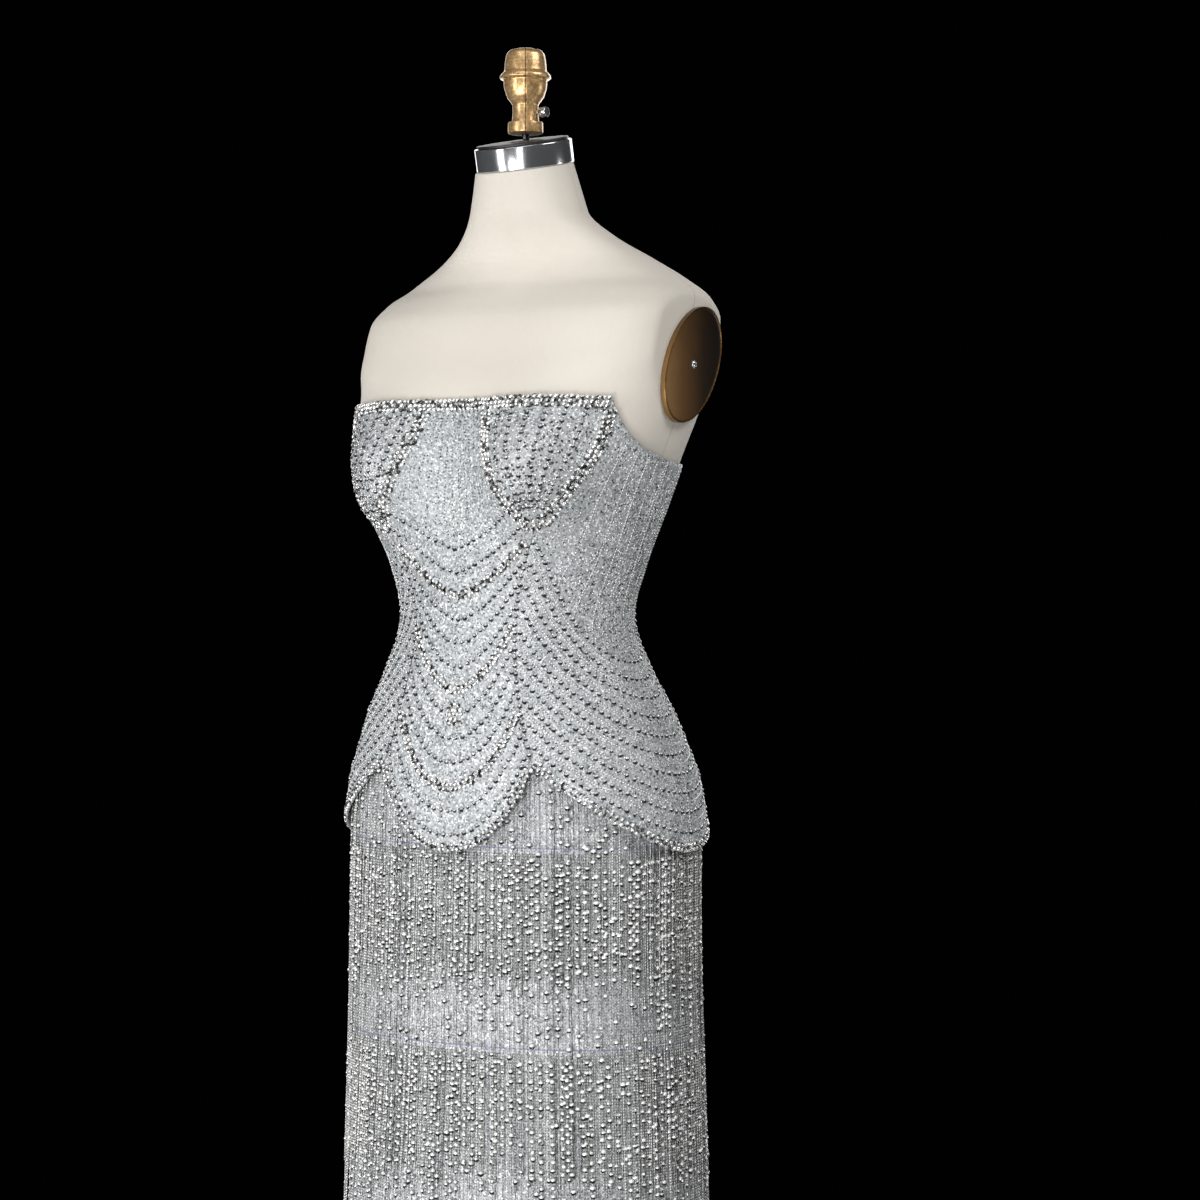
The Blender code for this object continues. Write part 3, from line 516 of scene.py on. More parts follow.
def tubes(name, lines, radius, sides, finish, slot, *nodes):
    """Thin strings of beads: lines is a list of (points, outward) arrays, joined as one piece."""
    all_points, all_faces, along_tube, start = [], [], [], 0
    angles = np.arange(sides) * 2 * math.pi / sides
    for number, (points, outward) in enumerate(lines):
        count = len(points)
        direction = unit(np.gradient(points, axis=0))
        beside = unit(np.cross(direction, outward))
        ring = (np.cos(angles)[None, :, None] * np.cross(beside, direction)[:, None]
                + np.sin(angles)[None, :, None] * beside[:, None]) * radius
        all_points.append((points[:, None] + ring).reshape(-1, 3))
        low = start + (np.arange(count - 1)[:, None] * sides + np.arange(sides)[None]).ravel()
        after = start + (np.arange(count - 1)[:, None] * sides
                         + (np.arange(sides)[None] + 1) % sides).ravel()
        all_faces.append(np.stack([low, after, after + sides], axis=1))
        all_faces.append(np.stack([low, after + sides, low + sides], axis=1))
        for end, order in ((start, -1), (start + (count - 1) * sides, 1)):
            fan = [[end, end + k, end + k + 1][::order] for k in range(1, sides - 1)]
            all_faces.append(np.array(fan))
        run = np.concatenate([[0], np.cumsum(np.linalg.norm(np.diff(points, axis=0), axis=1))])
        key = np.full(count, number * STRING_KEY_STEP)
        along_tube.append(np.stack([key, run], axis=1).repeat(sides, axis=0))
        start += count * sides
    piece = mesh_piece(name, np.concatenate(all_points), np.concatenate(all_faces), smooth=True)
    uv = piece.data.uv_layers.new(name="UVMap")
    corners = np.empty(len(piece.data.loops), dtype=np.int32)
    piece.data.loops.foreach_get("vertex_index", corners)
    uv.data.foreach_set("uv", np.concatenate(along_tube)[corners].astype(np.float32).ravel())
    finished(piece, finish, slot, *nodes)
    print(name, len(lines), "strings,", len(piece.data.polygons), "triangles")
    return piece


# %% [markdown]
# ## Cloth and bead finishes
# The bodice is silver mesh covered with glass seed beads about 1.5 mm across. Silver-lined glass
# acts like small tilted mirrors, so each cell of a Voronoi pattern leans the surface its own way
# and takes its own grey. The skirt's mesh is calmer, with lavender thread along the seams where
# each row of fringe is sewn on.


# %% Cloth that glitters
def glitter(name, cell, stops, lean, roughness, metallic, dome):
    """Beaded cloth: cells the size of beads, each with its own grey and its own lean."""
    finish, tree, shader = new_finish(name, Roughness=roughness, Metallic=metallic)
    where = add_node(tree, "TexCoord").outputs["Object"]
    beads = add_node(tree, "TexVoronoi", {"Vector": where, "Scale": 1.0 / cell, "Randomness": 0.9})
    tone = add_node(tree, "SeparateColor", {"Color": beads.outputs["Color"]}).outputs["Red"]
    drift = add_node(tree, "TexNoise", {"Vector": where, "Scale": 22.0, "Detail": 2.0})
    drift = add_node(tree, "Math", {0: drift, 1: 0.5}, operation="SUBTRACT")
    drift = add_node(tree, "Math", {0: drift, 1: 0.25}, operation="MULTIPLY")
    tone = add_node(tree, "Math", {0: tone, 1: drift}, operation="ADD")
    colour = add_node(tree, "ValToRGB", {"Fac": tone}, stops=stops)
    centred = add_node(
        tree, "VectorMath", {0: beads.outputs["Color"], 1: (0.5, 0.5, 0.5)}, operation="SUBTRACT")
    leaning = add_node(tree, "VectorMath", {0: centred, "Scale": lean}, operation="SCALE")
    normal = add_node(tree, "NewGeometry").outputs["Normal"]
    tipped = add_node(tree, "VectorMath", {0: normal, 1: leaning}, operation="ADD")
    tipped = add_node(tree, "VectorMath", {0: tipped}, operation="NORMALIZE")
    height = add_node(tree, "Math", {0: 1.0, 1: beads.outputs["Distance"]}, operation="SUBTRACT")
    bump = add_node(
        tree, "Bump", {"Height": height, "Distance": dome, "Strength": 0.5, "Normal": tipped})
    tree.links.new(bump.outputs[0], shader.inputs["Normal"])
    return tree, shader, colour, where, finish


# %% Seed beads and glitter mesh
SEAM_HEIGHTS = (0.838, 0.656, 0.474, 0.292)
THREAD_HALF_WIDTH = 0.0012
SEED_BEAD = 0.0015
# The mesh's own glitter is under 1 mm and would blur into grey, so it is drawn as coarse as beads
MESH_GLITTER = 0.0015

tree, shader, colour, where, beaded = glitter(
    "silver seed beads on mesh", SEED_BEAD,
    ((0.0, "5E6365"), (0.18, "929698"), (0.5, "A8ACAE"), (0.85, "BBBEC0"), (1.0, "F3F4F5")),
    lean=0.42, roughness=0.50, metallic=0.08, dome=0.0004)
tree.links.new(colour.outputs[0], shader.inputs["Base Color"])

tree, shader, colour, where, mesh_silver = glitter(
    "silver glitter mesh", MESH_GLITTER,
    ((0.0, "5F6265"), (0.2, "979A9D"), (0.5, "B0B3B6"), (0.85, "CACCCE"), (1.0, "FFFFFF")),
    lean=0.4, roughness=0.55, metallic=0.05, dome=0.0004)
upward = add_node(tree, "SeparateXYZ", {"Vector": where}).outputs["Z"]
thread = thin_line(tree, upward, SEAM_HEIGHTS[0], THREAD_HALF_WIDTH)
for seam in SEAM_HEIGHTS[1:]:
    line = thin_line(tree, upward, seam, THREAD_HALF_WIDTH)
    thread = add_node(tree, "Math", {0: thread, 1: line}, operation="MAXIMUM")
mixed = add_node(
    tree, "Mix", {"Factor": thread, "A": colour, "B": linear("8482A8")}, data_type="RGBA")
tree.links.new(mixed.outputs["Result"], shader.inputs["Base Color"])

# %% [markdown]
# ## Crystal and sequin finishes
# Crystals and sequins are too small for a pattern of their own, but in the light no two look
# alike. Each copy therefore carries a random tone in its mesh, for many of them with painted shade
# toward one edge, and a ramp turns that tone into a grey. Steep ramps leave few middle greys, which is how
# foil and film behave.


# %% Crystals and sequins
def stone_finish(name, stops, roughness, metallic, **sockets):
    """Stones whose grey comes from each copy's own tone."""
    finish, tree, shader = new_finish(name, Roughness=roughness, Metallic=metallic, **sockets)
    tone = add_node(tree, "Attribute", attribute_name="tone").outputs["Fac"]
    grey = add_node(tree, "ValToRGB", {"Fac": tone}, stops=stops)
    tree.links.new(grey.outputs[0], shader.inputs["Base Color"])
    return finish


# Foiled crystal: a mirror behind clear glass makes facets bright or dark; the ramp also turns each stone's
# painted facet highlight and shade into those greys
crystal = stone_finish(
    "foiled crystal", ((0.0, "141618"), (0.35, "383C3F"), (0.46, "CFCCC5"), (0.78, "FFFFFF")),
    roughness=0.10, metallic=0.6, Coat_Weight=1.0, Coat_Roughness=0.03)
# Cup sequins of smoked silver film, which read as dark dots, a few of them bright
dark_sequin = stone_finish(
    "smoked cup sequin", ((0.0, "16181A"), (0.48, "363A3D"), (0.66, "C2C6C8"), (0.9, "FFFFFF")),
    roughness=0.15, metallic=0.5)
# The fringe's sequins are the same cups in plain silver film
silver_sequin = stone_finish(
    "silver cup sequin",
    ((0.0, "0A0A0A"), (0.34, "2A2A29"), (0.46, "DEDEDB"), (0.62, "FFFFFF")),
    roughness=0.20, metallic=0.25)

# %% [markdown]
# ## Strung beads
# A fringe string is glass beads on a thread. Modelled one by one they would be millions of faces,
# so a string is a thin tube, and its finish draws the beads: each is lighter in its middle and darkens into
# painted shade in the gap at each end.
# A string's own grey is mixed with each bead's, so that single strings stand out in the fringe.


# %% Strung beads
def bead_string(name, pitch, stops, roughness, metallic):
    """Strung seed beads: rings along the string, where each string and each bead has its own grey."""
    finish, tree, shader = new_finish(name, Roughness=roughness, Metallic=metallic)
    uv = add_node(tree, "SeparateXYZ", {"Vector": add_node(tree, "TexCoord").outputs["UV"]})
    along = add_node(tree, "Math", {0: uv.outputs["Y"], 1: pitch}, operation="DIVIDE")
    number = add_node(tree, "Math", {0: along}, operation="FLOOR")
    key = add_node(tree, "CombineXYZ", {"X": uv.outputs["X"], "Y": number})
    bead = add_node(tree, "TexWhiteNoise", {"Vector": key}, noise_dimensions="3D")
    bead = add_node(tree, "Math", {0: bead, 1: 0.6}, operation="MULTIPLY")
    string = add_node(tree, "TexWhiteNoise", {"W": uv.outputs["X"]}, noise_dimensions="1D")
    string = add_node(tree, "Math", {0: string, 1: 0.5}, operation="MULTIPLY")
    tone = add_node(tree, "Math", {0: bead, 1: string}, operation="ADD")
    glass = add_node(tree, "ValToRGB", {"Fac": tone}, stops=stops)
    inside = add_node(tree, "Math", {0: along}, operation="FRACT")
    inside = add_node(tree, "Math", {0: inside, 1: math.pi}, operation="MULTIPLY")
    swell = add_node(tree, "Math", {0: inside}, operation="SINE")
    shown = add_node(tree, "Math", {0: swell, 1: 0.6}, operation="POWER")
    # Painted shade: each bead darkens toward its ends, into the dark grey of the gap between beads
    shade = add_node(
        tree, "Mix", {"Factor": shown, "A": linear("3E3F40"), "B": glass}, data_type="RGBA")
    tree.links.new(shade.outputs["Result"], shader.inputs["Base Color"])
    bump = add_node(tree, "Bump", {"Height": swell, "Distance": pitch * 0.4, "Strength": 0.7})
    tree.links.new(bump.outputs[0], shader.inputs["Normal"])
    return finish


STRING_BEAD, LINE_BEAD = 0.0026, 0.0028
string_beads = bead_string(
    "silver-lined glass beads", STRING_BEAD,
    ((0.05, "343535"), (0.40, "B2B3B1"), (0.75, "F2F2F0"), (1.0, "FFFFFF")), roughness=0.34, metallic=0.3)
line_beads = bead_string(
    "sewn seed beads", LINE_BEAD,
    ((0.0, "4A4F51"), (0.3, "C6CCCE"), (0.7, "FFFFFF")), roughness=0.30, metallic=0.2)

# %% [markdown]
# ## The dress form
# The form is a hollow shell covered with stretched linen, matt and cream. The cloth is seamed
# along the sides and over the shoulders, and the side seams show as a fine line. It is modelled as one
# smooth sheet round the body that ends at the tilted cut of the neck.

# %% Linen
linen, tree, shader = new_finish("stretched linen", Roughness=0.9, Sheen_Weight=0.15)
uv = add_node(tree, "TexCoord").outputs["UV"]
around = add_node(tree, "SeparateXYZ", {"Vector": uv}).outputs["X"]
# Threads of 0.5 mm are too fine to show, so the weave is drawn with slubs of 2 to 5 mm
stretch = add_node(tree, "Mapping", {"Vector": uv, "Scale": (900.0, 90.0, 1.0)}).outputs[0]
slubs = add_node(tree, "TexNoise", {"Vector": stretch, "Scale": 1.0, "Detail": 3.0})
soft = add_node(tree, "TexNoise", {"Vector": uv, "Scale": 9.0, "Detail": 1.0})
weave = add_node(tree, "Math", {0: slubs, 1: 0.3}, operation="MULTIPLY")
patches = add_node(tree, "Math", {0: soft, 1: 0.7}, operation="MULTIPLY")
tone = add_node(tree, "Math", {0: weave, 1: patches}, operation="ADD")
cream = add_node(
    tree, "ValToRGB", {"Fac": tone}, stops=((0.25, "CDC6BB"), (0.5, "D2CBC0"), (0.8, "D6D0C7")))
SIDE_SEAM_TURNS = (91.0, 269.0)
SEAM_HALF_WIDTH = 0.0011
seams = [
    thin_line(tree, around, turn * METRES_PER_DEGREE, SEAM_HALF_WIDTH) for turn in SIDE_SEAM_TURNS]
seams = add_node(tree, "Math", {0: seams[0], 1: seams[1]}, operation="MAXIMUM")
stain = add_node(tree, "Math", {0: seams, 1: 0.55}, operation="MULTIPLY")
stitched = add_node(
    tree, "Mix", {"Factor": stain, "A": cream, "B": linear("A2937F")}, data_type="RGBA")
tree.links.new(stitched.outputs["Result"], shader.inputs["Base Color"])
raised = add_node(tree, "Math", {0: slubs, 1: 0.25}, operation="MULTIPLY")
height = add_node(tree, "Math", {0: raised, 1: seams}, operation="SUBTRACT")
bump = add_node(tree, "Bump", {"Height": height, "Distance": 0.0006, "Strength": 0.6})
tree.links.new(bump.outputs[0], shader.inputs["Normal"])

# %% Rings of the linen cover
FORM_BOTTOM = 0.790
NECK_TOP_RING = 1.432
NECK_TILT = math.radians(12.6)
NECK_CENTRE = Vector((0.0, -0.002, 1.487))
NECK_RADIUS = 0.0465
BAND_HALF = 0.011
FORM_COLUMNS = 180
FORM_ROWS = 150
NECK_ROWS = 24

heights = np.linspace(FORM_BOTTOM, NECK_TOP_RING, FORM_ROWS)
turns = np.linspace(0.0, 360.0, FORM_COLUMNS + 1)
rings = layer(turns[None], heights[:, None], np.zeros((1, 1)), FORM_BUST)
normal = Vector((0.0, -math.sin(NECK_TILT), math.cos(NECK_TILT)))
plane = NECK_CENTRE - normal * (BAND_HALF + SEAM_GAP)
low = rings[-1]
top = low.copy()
top[:, :2] = unit(low[:, :2]) * NECK_RADIUS + np.array(NECK_CENTRE[:2])
top[:, 2] = plane.z - (top[:, 1] - plane.y) * normal.y / normal.z
parts = np.linspace(0.0, 1.0, NECK_ROWS + 1)[1:, None, None]
rings = np.concatenate([rings, low[None] * (1 - parts) + top[None] * parts])
print("cover with", len(rings), "rings")

# %% Close the cover at the neck and below
deselect()
bpy.ops.mesh.primitive_grid_add(x_subdivisions=FORM_COLUMNS, y_subdivisions=len(rings) - 1, size=1.0)
form_cover = bpy.context.object
form_cover.name = "form_linen"
form_cover.data.vertices.foreach_set("co", rings.reshape(-1, 3).ravel())
flat = np.broadcast_arrays(turns[None] * METRES_PER_DEGREE, rings[:, :, 2])
flat = np.stack(flat, axis=-1).reshape(-1, 2)
corners = np.empty(len(form_cover.data.loops), dtype=np.int32)
form_cover.data.loops.foreach_get("vertex_index", corners)
form_cover.data.uv_layers[0].data.foreach_set("uv", flat[corners].ravel())
bpy.ops.object.mode_set(mode="EDIT")
bpy.ops.mesh.select_all(action="SELECT")
bpy.ops.mesh.remove_doubles(threshold=0.00001)
bpy.ops.mesh.select_all(action="DESELECT")
bpy.ops.mesh.select_non_manifold()
bpy.ops.mesh.edge_face_add()
bpy.ops.object.mode_set(mode="OBJECT")
form_cover.data.update()
form_cover.data.shade_smooth()
finished(form_cover, linen, "linen", "form_torso")
print("form cover", len(form_cover.data.polygons), "faces")

# %% [markdown]
# ## Chrome and the dark disc
# The neck ring is polished chrome, so it shows the lamps as bright upright streaks. A perfect mirror
# would make them hard, so its roughness follows a fine upright grain, which softens them. The disc
# on top of the ring is moulded, and a fine bump takes the shine off it.

# %% Chrome and the dark disc
chrome, tree, shader = new_finish("polished chrome", Metallic=0.9, Base_Color=linear("C9CBCE"))
where = add_node(tree, "TexCoord").outputs["Object"]
stretch = add_node(tree, "Mapping", {"Vector": where, "Scale": (500.0, 500.0, 12.0)}).outputs[0]
brushed = add_node(tree, "TexNoise", {"Vector": stretch, "Scale": 1.0})
rough = add_node(tree, "MapRange", {"Value": brushed, "To Min": 0.12, "To Max": 0.20})
tree.links.new(rough.outputs[0], shader.inputs["Roughness"])

cap_black, tree, shader = new_finish("dark moulded disc", Roughness=0.45, Base_Color=linear("221F1D"))
where = add_node(tree, "TexCoord").outputs["Object"]
grain = add_node(tree, "TexNoise", {"Vector": where, "Scale": 600.0})
bump = add_node(tree, "Bump", {"Height": grain, "Distance": 0.0002, "Strength": 0.4})
tree.links.new(bump.outputs[0], shader.inputs["Normal"])

# %% [markdown]
# ## Gilded beech
# The finial is turned from two halves of beech, glued and gilded. Thin gilding shows the grain and
# the lathe's rings, so two noises tint it: a fine one for the grain, and one stretched round the
# finial for the rings. The glue line still shows, as a thin dark line that faces the camera.

# %% Gilded beech
gilt, tree, shader = new_finish(
    "gilded turned beech", Metallic=0.65, Roughness=0.34, Coat_Weight=0.25, Coat_Roughness=0.2)
where = add_node(tree, "TexCoord").outputs["Object"]
stretch = add_node(tree, "Mapping", {"Vector": where, "Scale": (420.0, 420.0, 300.0)}).outputs[0]
grain = add_node(tree, "TexNoise", {"Vector": stretch, "Scale": 1.0, "Detail": 4.0})
stretch = add_node(tree, "Mapping", {"Vector": where, "Scale": (15.0, 15.0, 900.0)}).outputs[0]
turned_lines = add_node(tree, "TexNoise", {"Vector": stretch, "Scale": 1.0})
grain = add_node(tree, "Math", {0: grain, 1: 0.7}, operation="MULTIPLY")
turned_lines = add_node(tree, "Math", {0: turned_lines, 1: 0.3}, operation="MULTIPLY")
tone = add_node(tree, "Math", {0: grain, 1: turned_lines}, operation="ADD")
gold = add_node(
    tree, "ValToRGB", {"Fac": tone}, stops=((0.3, "A07A4A"), (0.5, "CBA470"), (0.7, "F4D8AA")))
facing = add_node(tree, "Mapping", {"Vector": where, "Rotation": (0.0, 0.0, -VIEW_TURN)})
across = add_node(tree, "SeparateXYZ", {"Vector": facing}).outputs["X"]
glue = thin_line(tree, across, 0.0, 0.0007)
halves = add_node(tree, "Mix", {"Factor": glue, "A": gold, "B": linear("3B2710")}, data_type="RGBA")
tree.links.new(halves.outputs["Result"], shader.inputs["Base Color"])
raised = add_node(tree, "Math", {0: tone, 1: 0.4}, operation="MULTIPLY")
height = add_node(tree, "Math", {0: raised, 1: glue}, operation="SUBTRACT")
bump = add_node(tree, "Bump", {"Height": height, "Distance": 0.0005, "Strength": 0.5})
tree.links.new(bump.outputs[0], shader.inputs["Normal"])

# %% [markdown]
# ## Bronze and steel
# The arm plates are lacquered bronze with some cloudiness, painted darker toward the back as painted
# shade, so their colour follows the depth. At the rim the lacquer is worn down to bare, brassy metal. The
# finial's rod is plain dark steel, and the pole and the base have a satin black powder coat.

# %% Bronze and its worn edge
bronze, tree, shader = new_finish("lacquered bronze", Metallic=0.55, Coat_Weight=0.3, Coat_Roughness=0.2)
where = add_node(tree, "TexCoord").outputs["Object"]
cloudy = add_node(tree, "TexNoise", {"Vector": where, "Scale": 28.0, "Detail": 3.0})
behind = add_node(tree, "SeparateXYZ", {"Vector": where}).outputs["Y"]
# Painted shade: the plates' colour darkens toward the back of the form; the clouds are their own
depth = add_node(tree, "MapRange", {"Value": behind, "From Min": -0.030, "From Max": 0.078})
clouds = add_node(tree, "Math", {0: cloudy, 1: 0.25}, operation="MULTIPLY")
painted_shade_and_clouds = add_node(tree, "Math", {0: depth, 1: clouds}, operation="ADD")
brown = add_node(
    tree, "ValToRGB", {"Fac": painted_shade_and_clouds},
    stops=((0.12, "A07C4A"), (0.45, "6C4B25"), (0.80, "30200F"), (1.0, "20150B")))
tree.links.new(brown.outputs[0], shader.inputs["Base Color"])
rough = add_node(tree, "MapRange", {"Value": cloudy, "To Min": 0.28, "To Max": 0.42})
tree.links.new(rough.outputs[0], shader.inputs["Roughness"])

worn_edge, tree, shader = new_finish("worn brass edge", Metallic=0.8, Roughness=0.35)
where = add_node(tree, "TexCoord").outputs["Object"]
wear = add_node(tree, "TexNoise", {"Vector": where, "Scale": 200.0})
brass = add_node(tree, "ValToRGB", {"Fac": wear}, stops=((0.3, "4E3719"), (0.7, "745526")))
tree.links.new(brass.outputs[0], shader.inputs["Base Color"])

# %% Steel and powder coat
dark_steel, tree, shader = new_finish("dark steel", Metallic=1.0, Roughness=0.3)
where = add_node(tree, "TexCoord").outputs["Object"]
wear = add_node(tree, "TexNoise", {"Vector": where, "Scale": 300.0})
grey = add_node(tree, "ValToRGB", {"Fac": wear}, stops=((0.3, "3C3E43"), (0.7, "6A6C72")))
tree.links.new(grey.outputs[0], shader.inputs["Base Color"])

powder_coat, tree, shader = new_finish("satin black powder coat", Roughness=0.5, Base_Color=linear("1D1D1F"))
where = add_node(tree, "TexCoord").outputs["Object"]
speckle = add_node(tree, "TexNoise", {"Vector": where, "Scale": 900.0})
bump = add_node(tree, "Bump", {"Height": speckle, "Distance": 0.0002, "Strength": 0.5})
tree.links.new(bump.outputs[0], shader.inputs["Normal"])
for name in ("pole", "base"):
    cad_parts[name].material_slots[0].material = powder_coat

# %% [markdown]
# ## Turned pieces
# The ring, the disc, the finial, the screws and the plates are all round about an axis, as if they
# came off a lathe. Each is a profile of (radius, height) points spun round its axis. Its corners are
# rounded in the profile itself, which keeps every edge clean and needs no bevel afterwards.


# %% Spin a profile
def turned(name, profile, segments):
    """Spin a profile of (radius, height) about Z into a smooth closed solid."""
    deselect()
    bpy.ops.mesh.primitive_circle_add(vertices=len(profile), radius=1.0, fill_type="NOTHING")
    piece = bpy.context.object
    piece.name = name
    for vertex, (radius, height) in zip(piece.data.vertices, profile):
        vertex.co = (max(radius, 0.0), 0.0, height)
    bpy.ops.object.mode_set(mode="EDIT")
    bpy.ops.mesh.select_all(action="SELECT")
    bpy.ops.mesh.spin(steps=segments, angle=2 * math.pi, center=(0, 0, 0), axis=(0, 0, 1))
    bpy.ops.mesh.select_all(action="SELECT")
    bpy.ops.mesh.remove_doubles(threshold=0.000005)
    bpy.ops.mesh.delete_loose()
    bpy.ops.mesh.dissolve_degenerate(threshold=0.000001)
    bpy.ops.mesh.select_all(action="SELECT")
    bpy.ops.mesh.normals_make_consistent(inside=False)
    bpy.ops.object.mode_set(mode="OBJECT")
    deselect()
    piece.select_set(True)
    bpy.ops.object.shade_smooth_by_angle(angle=math.radians(42))
    print(name, len(profile), "points spun to", len(piece.data.polygons), "faces")
    return piece


# %% Round a profile's corners
def rounded(corners, radius, steps=4):
    """A profile with its inner corners rounded, each by a short curve."""
    points = [corners[0]]
    for before, here, after in zip(corners, corners[1:], corners[2:]):
        here = np.array(here, float)
        sides = [np.array(other, float) - here for other in (before, after)]
        lengths = [np.linalg.norm(side) for side in sides]
        cut = min(radius, *(length * 0.45 for length in lengths))
        start, end = (here + side / length * cut for side, length in zip(sides, lengths))
        for step in range(steps + 1):
            part = step / steps
            bend = (1 - part) ** 2 * start + 2 * part * (1 - part) * here + part ** 2 * end
            points.append(tuple(bend))
    points.append(corners[-1])
    return points


# %% The neck ring and its disc
DISC_THICKNESS = 0.0025
DISC_RADIUS = 0.0440
tilted = Matrix.Translation(NECK_CENTRE) @ Matrix.Rotation(NECK_TILT, 4, "X")

band = turned("neck_ring", rounded((
    (0.0, BAND_HALF), (NECK_RADIUS, BAND_HALF), (NECK_RADIUS, -BAND_HALF), (0.0, -BAND_HALF)), 0.0012), 128)
band.data.transform(tilted)
finished(band, chrome, "chrome", "neck_band")

disc_low = BAND_HALF + SEAM_GAP
disc = turned("neck_plate", rounded((
    (0.0, disc_low + DISC_THICKNESS - 0.0006), (0.012, disc_low + DISC_THICKNESS - 0.0006),
    (0.013, disc_low + DISC_THICKNESS), (DISC_RADIUS, disc_low + DISC_THICKNESS),
    (DISC_RADIUS, disc_low), (0.0, disc_low)), 0.0008), 96)
disc.data.transform(tilted)
finished(disc, cap_black, "dark_disc", "neck_disc")

# %% [markdown]
# ## Finial and thumb screw
# The finial is a bulb with a collar, a waist and a foot, over a steel rod that stands in the disc.
# A thumb screw in its waist clamps it to the rod. The screw is turned like the rest, and its head is
# milled afterwards: every second row of points is drawn in toward the axis, which leaves ridges.

# %% The finial on its rod
FINIAL_BOTTOM = 1.5078
ROD_RADIUS = 0.0033
ROD_BOTTOM = 1.5024
# Columns: radius, height above the finial's foot.
FINIAL_PROFILE = (
    (0.0, 0.0810), (0.0100, 0.0806), (0.0155, 0.0790), (0.0182, 0.0758), (0.0193, 0.0700),
    (0.0199, 0.0640), (0.0202, 0.0590), (0.0228, 0.0572), (0.0243, 0.0545), (0.0243, 0.0524),
    (0.0206, 0.0512), (0.0207, 0.0470), (0.0200, 0.0420), (0.0175, 0.0345), (0.0135, 0.0292),
    (0.0124, 0.0275), (0.0121, 0.0200), (0.0128, 0.0128), (0.0132, 0.0112), (0.0165, 0.0108),
    (0.0167, 0.0090), (0.0167, 0.0008), (0.0155, 0.0), (0.0, 0.0),
)
knob = turned("gilt_finial", rounded(FINIAL_PROFILE, 0.0016, 3), 72)
knob.data.transform(Matrix.Translation((0.0, 0.0, FINIAL_BOTTOM)))
finished(knob, gilt, "gilt_wood", "finial")
rod = turned("finial_peg", rounded((
    (0.0, FINIAL_BOTTOM - SEAM_GAP), (ROD_RADIUS, FINIAL_BOTTOM - SEAM_GAP),
    (ROD_RADIUS, ROD_BOTTOM), (0.0, ROD_BOTTOM)), 0.0003, 2), 32)
finished(rod, dark_steel, "chrome", "finial_rod")

# %% The thumb screw, with a milled head
SCREW_HEIGHT = 1.5270
SCREW_NECK, SCREW_HEAD = 0.0030, 0.0080
SCREW_HEAD_RADIUS, SCREW_NECK_RADIUS = 0.0048, 0.0022
MILLING = 28
screw = turned("milled_screw", rounded((
    (0.0, SCREW_NECK + SCREW_HEAD), (SCREW_HEAD_RADIUS, SCREW_NECK + SCREW_HEAD),
    (SCREW_HEAD_RADIUS, SCREW_NECK), (SCREW_NECK_RADIUS, SCREW_NECK),
    (SCREW_NECK_RADIUS, 0.0), (0.0, 0.0)), 0.0006, 3), MILLING * 2)
for vertex in screw.data.vertices:
    angle = math.atan2(vertex.co.y, vertex.co.x)
    if vertex.co.xy.length > SCREW_HEAD_RADIUS - 0.0005 and round(angle * MILLING / math.pi) % 2:
        vertex.co.xy *= 0.94
seat = Matrix.Translation((0.0133 + SEAM_GAP, 0.0, SCREW_HEIGHT))
screw.data.transform(seat @ Matrix.Rotation(math.pi / 2, 4, "Y"))
finished(screw, chrome, "chrome", "thumb_screw")

# %% [markdown]
# ## Arm plates
# An oval plate closes each armhole of the form. It is a shallow dish with a raised rim, held by a
# cross-headed screw. The dish is turned as a circle and then stretched to an oval, and the cross is
# cut into the screw's head by two thin blocks.

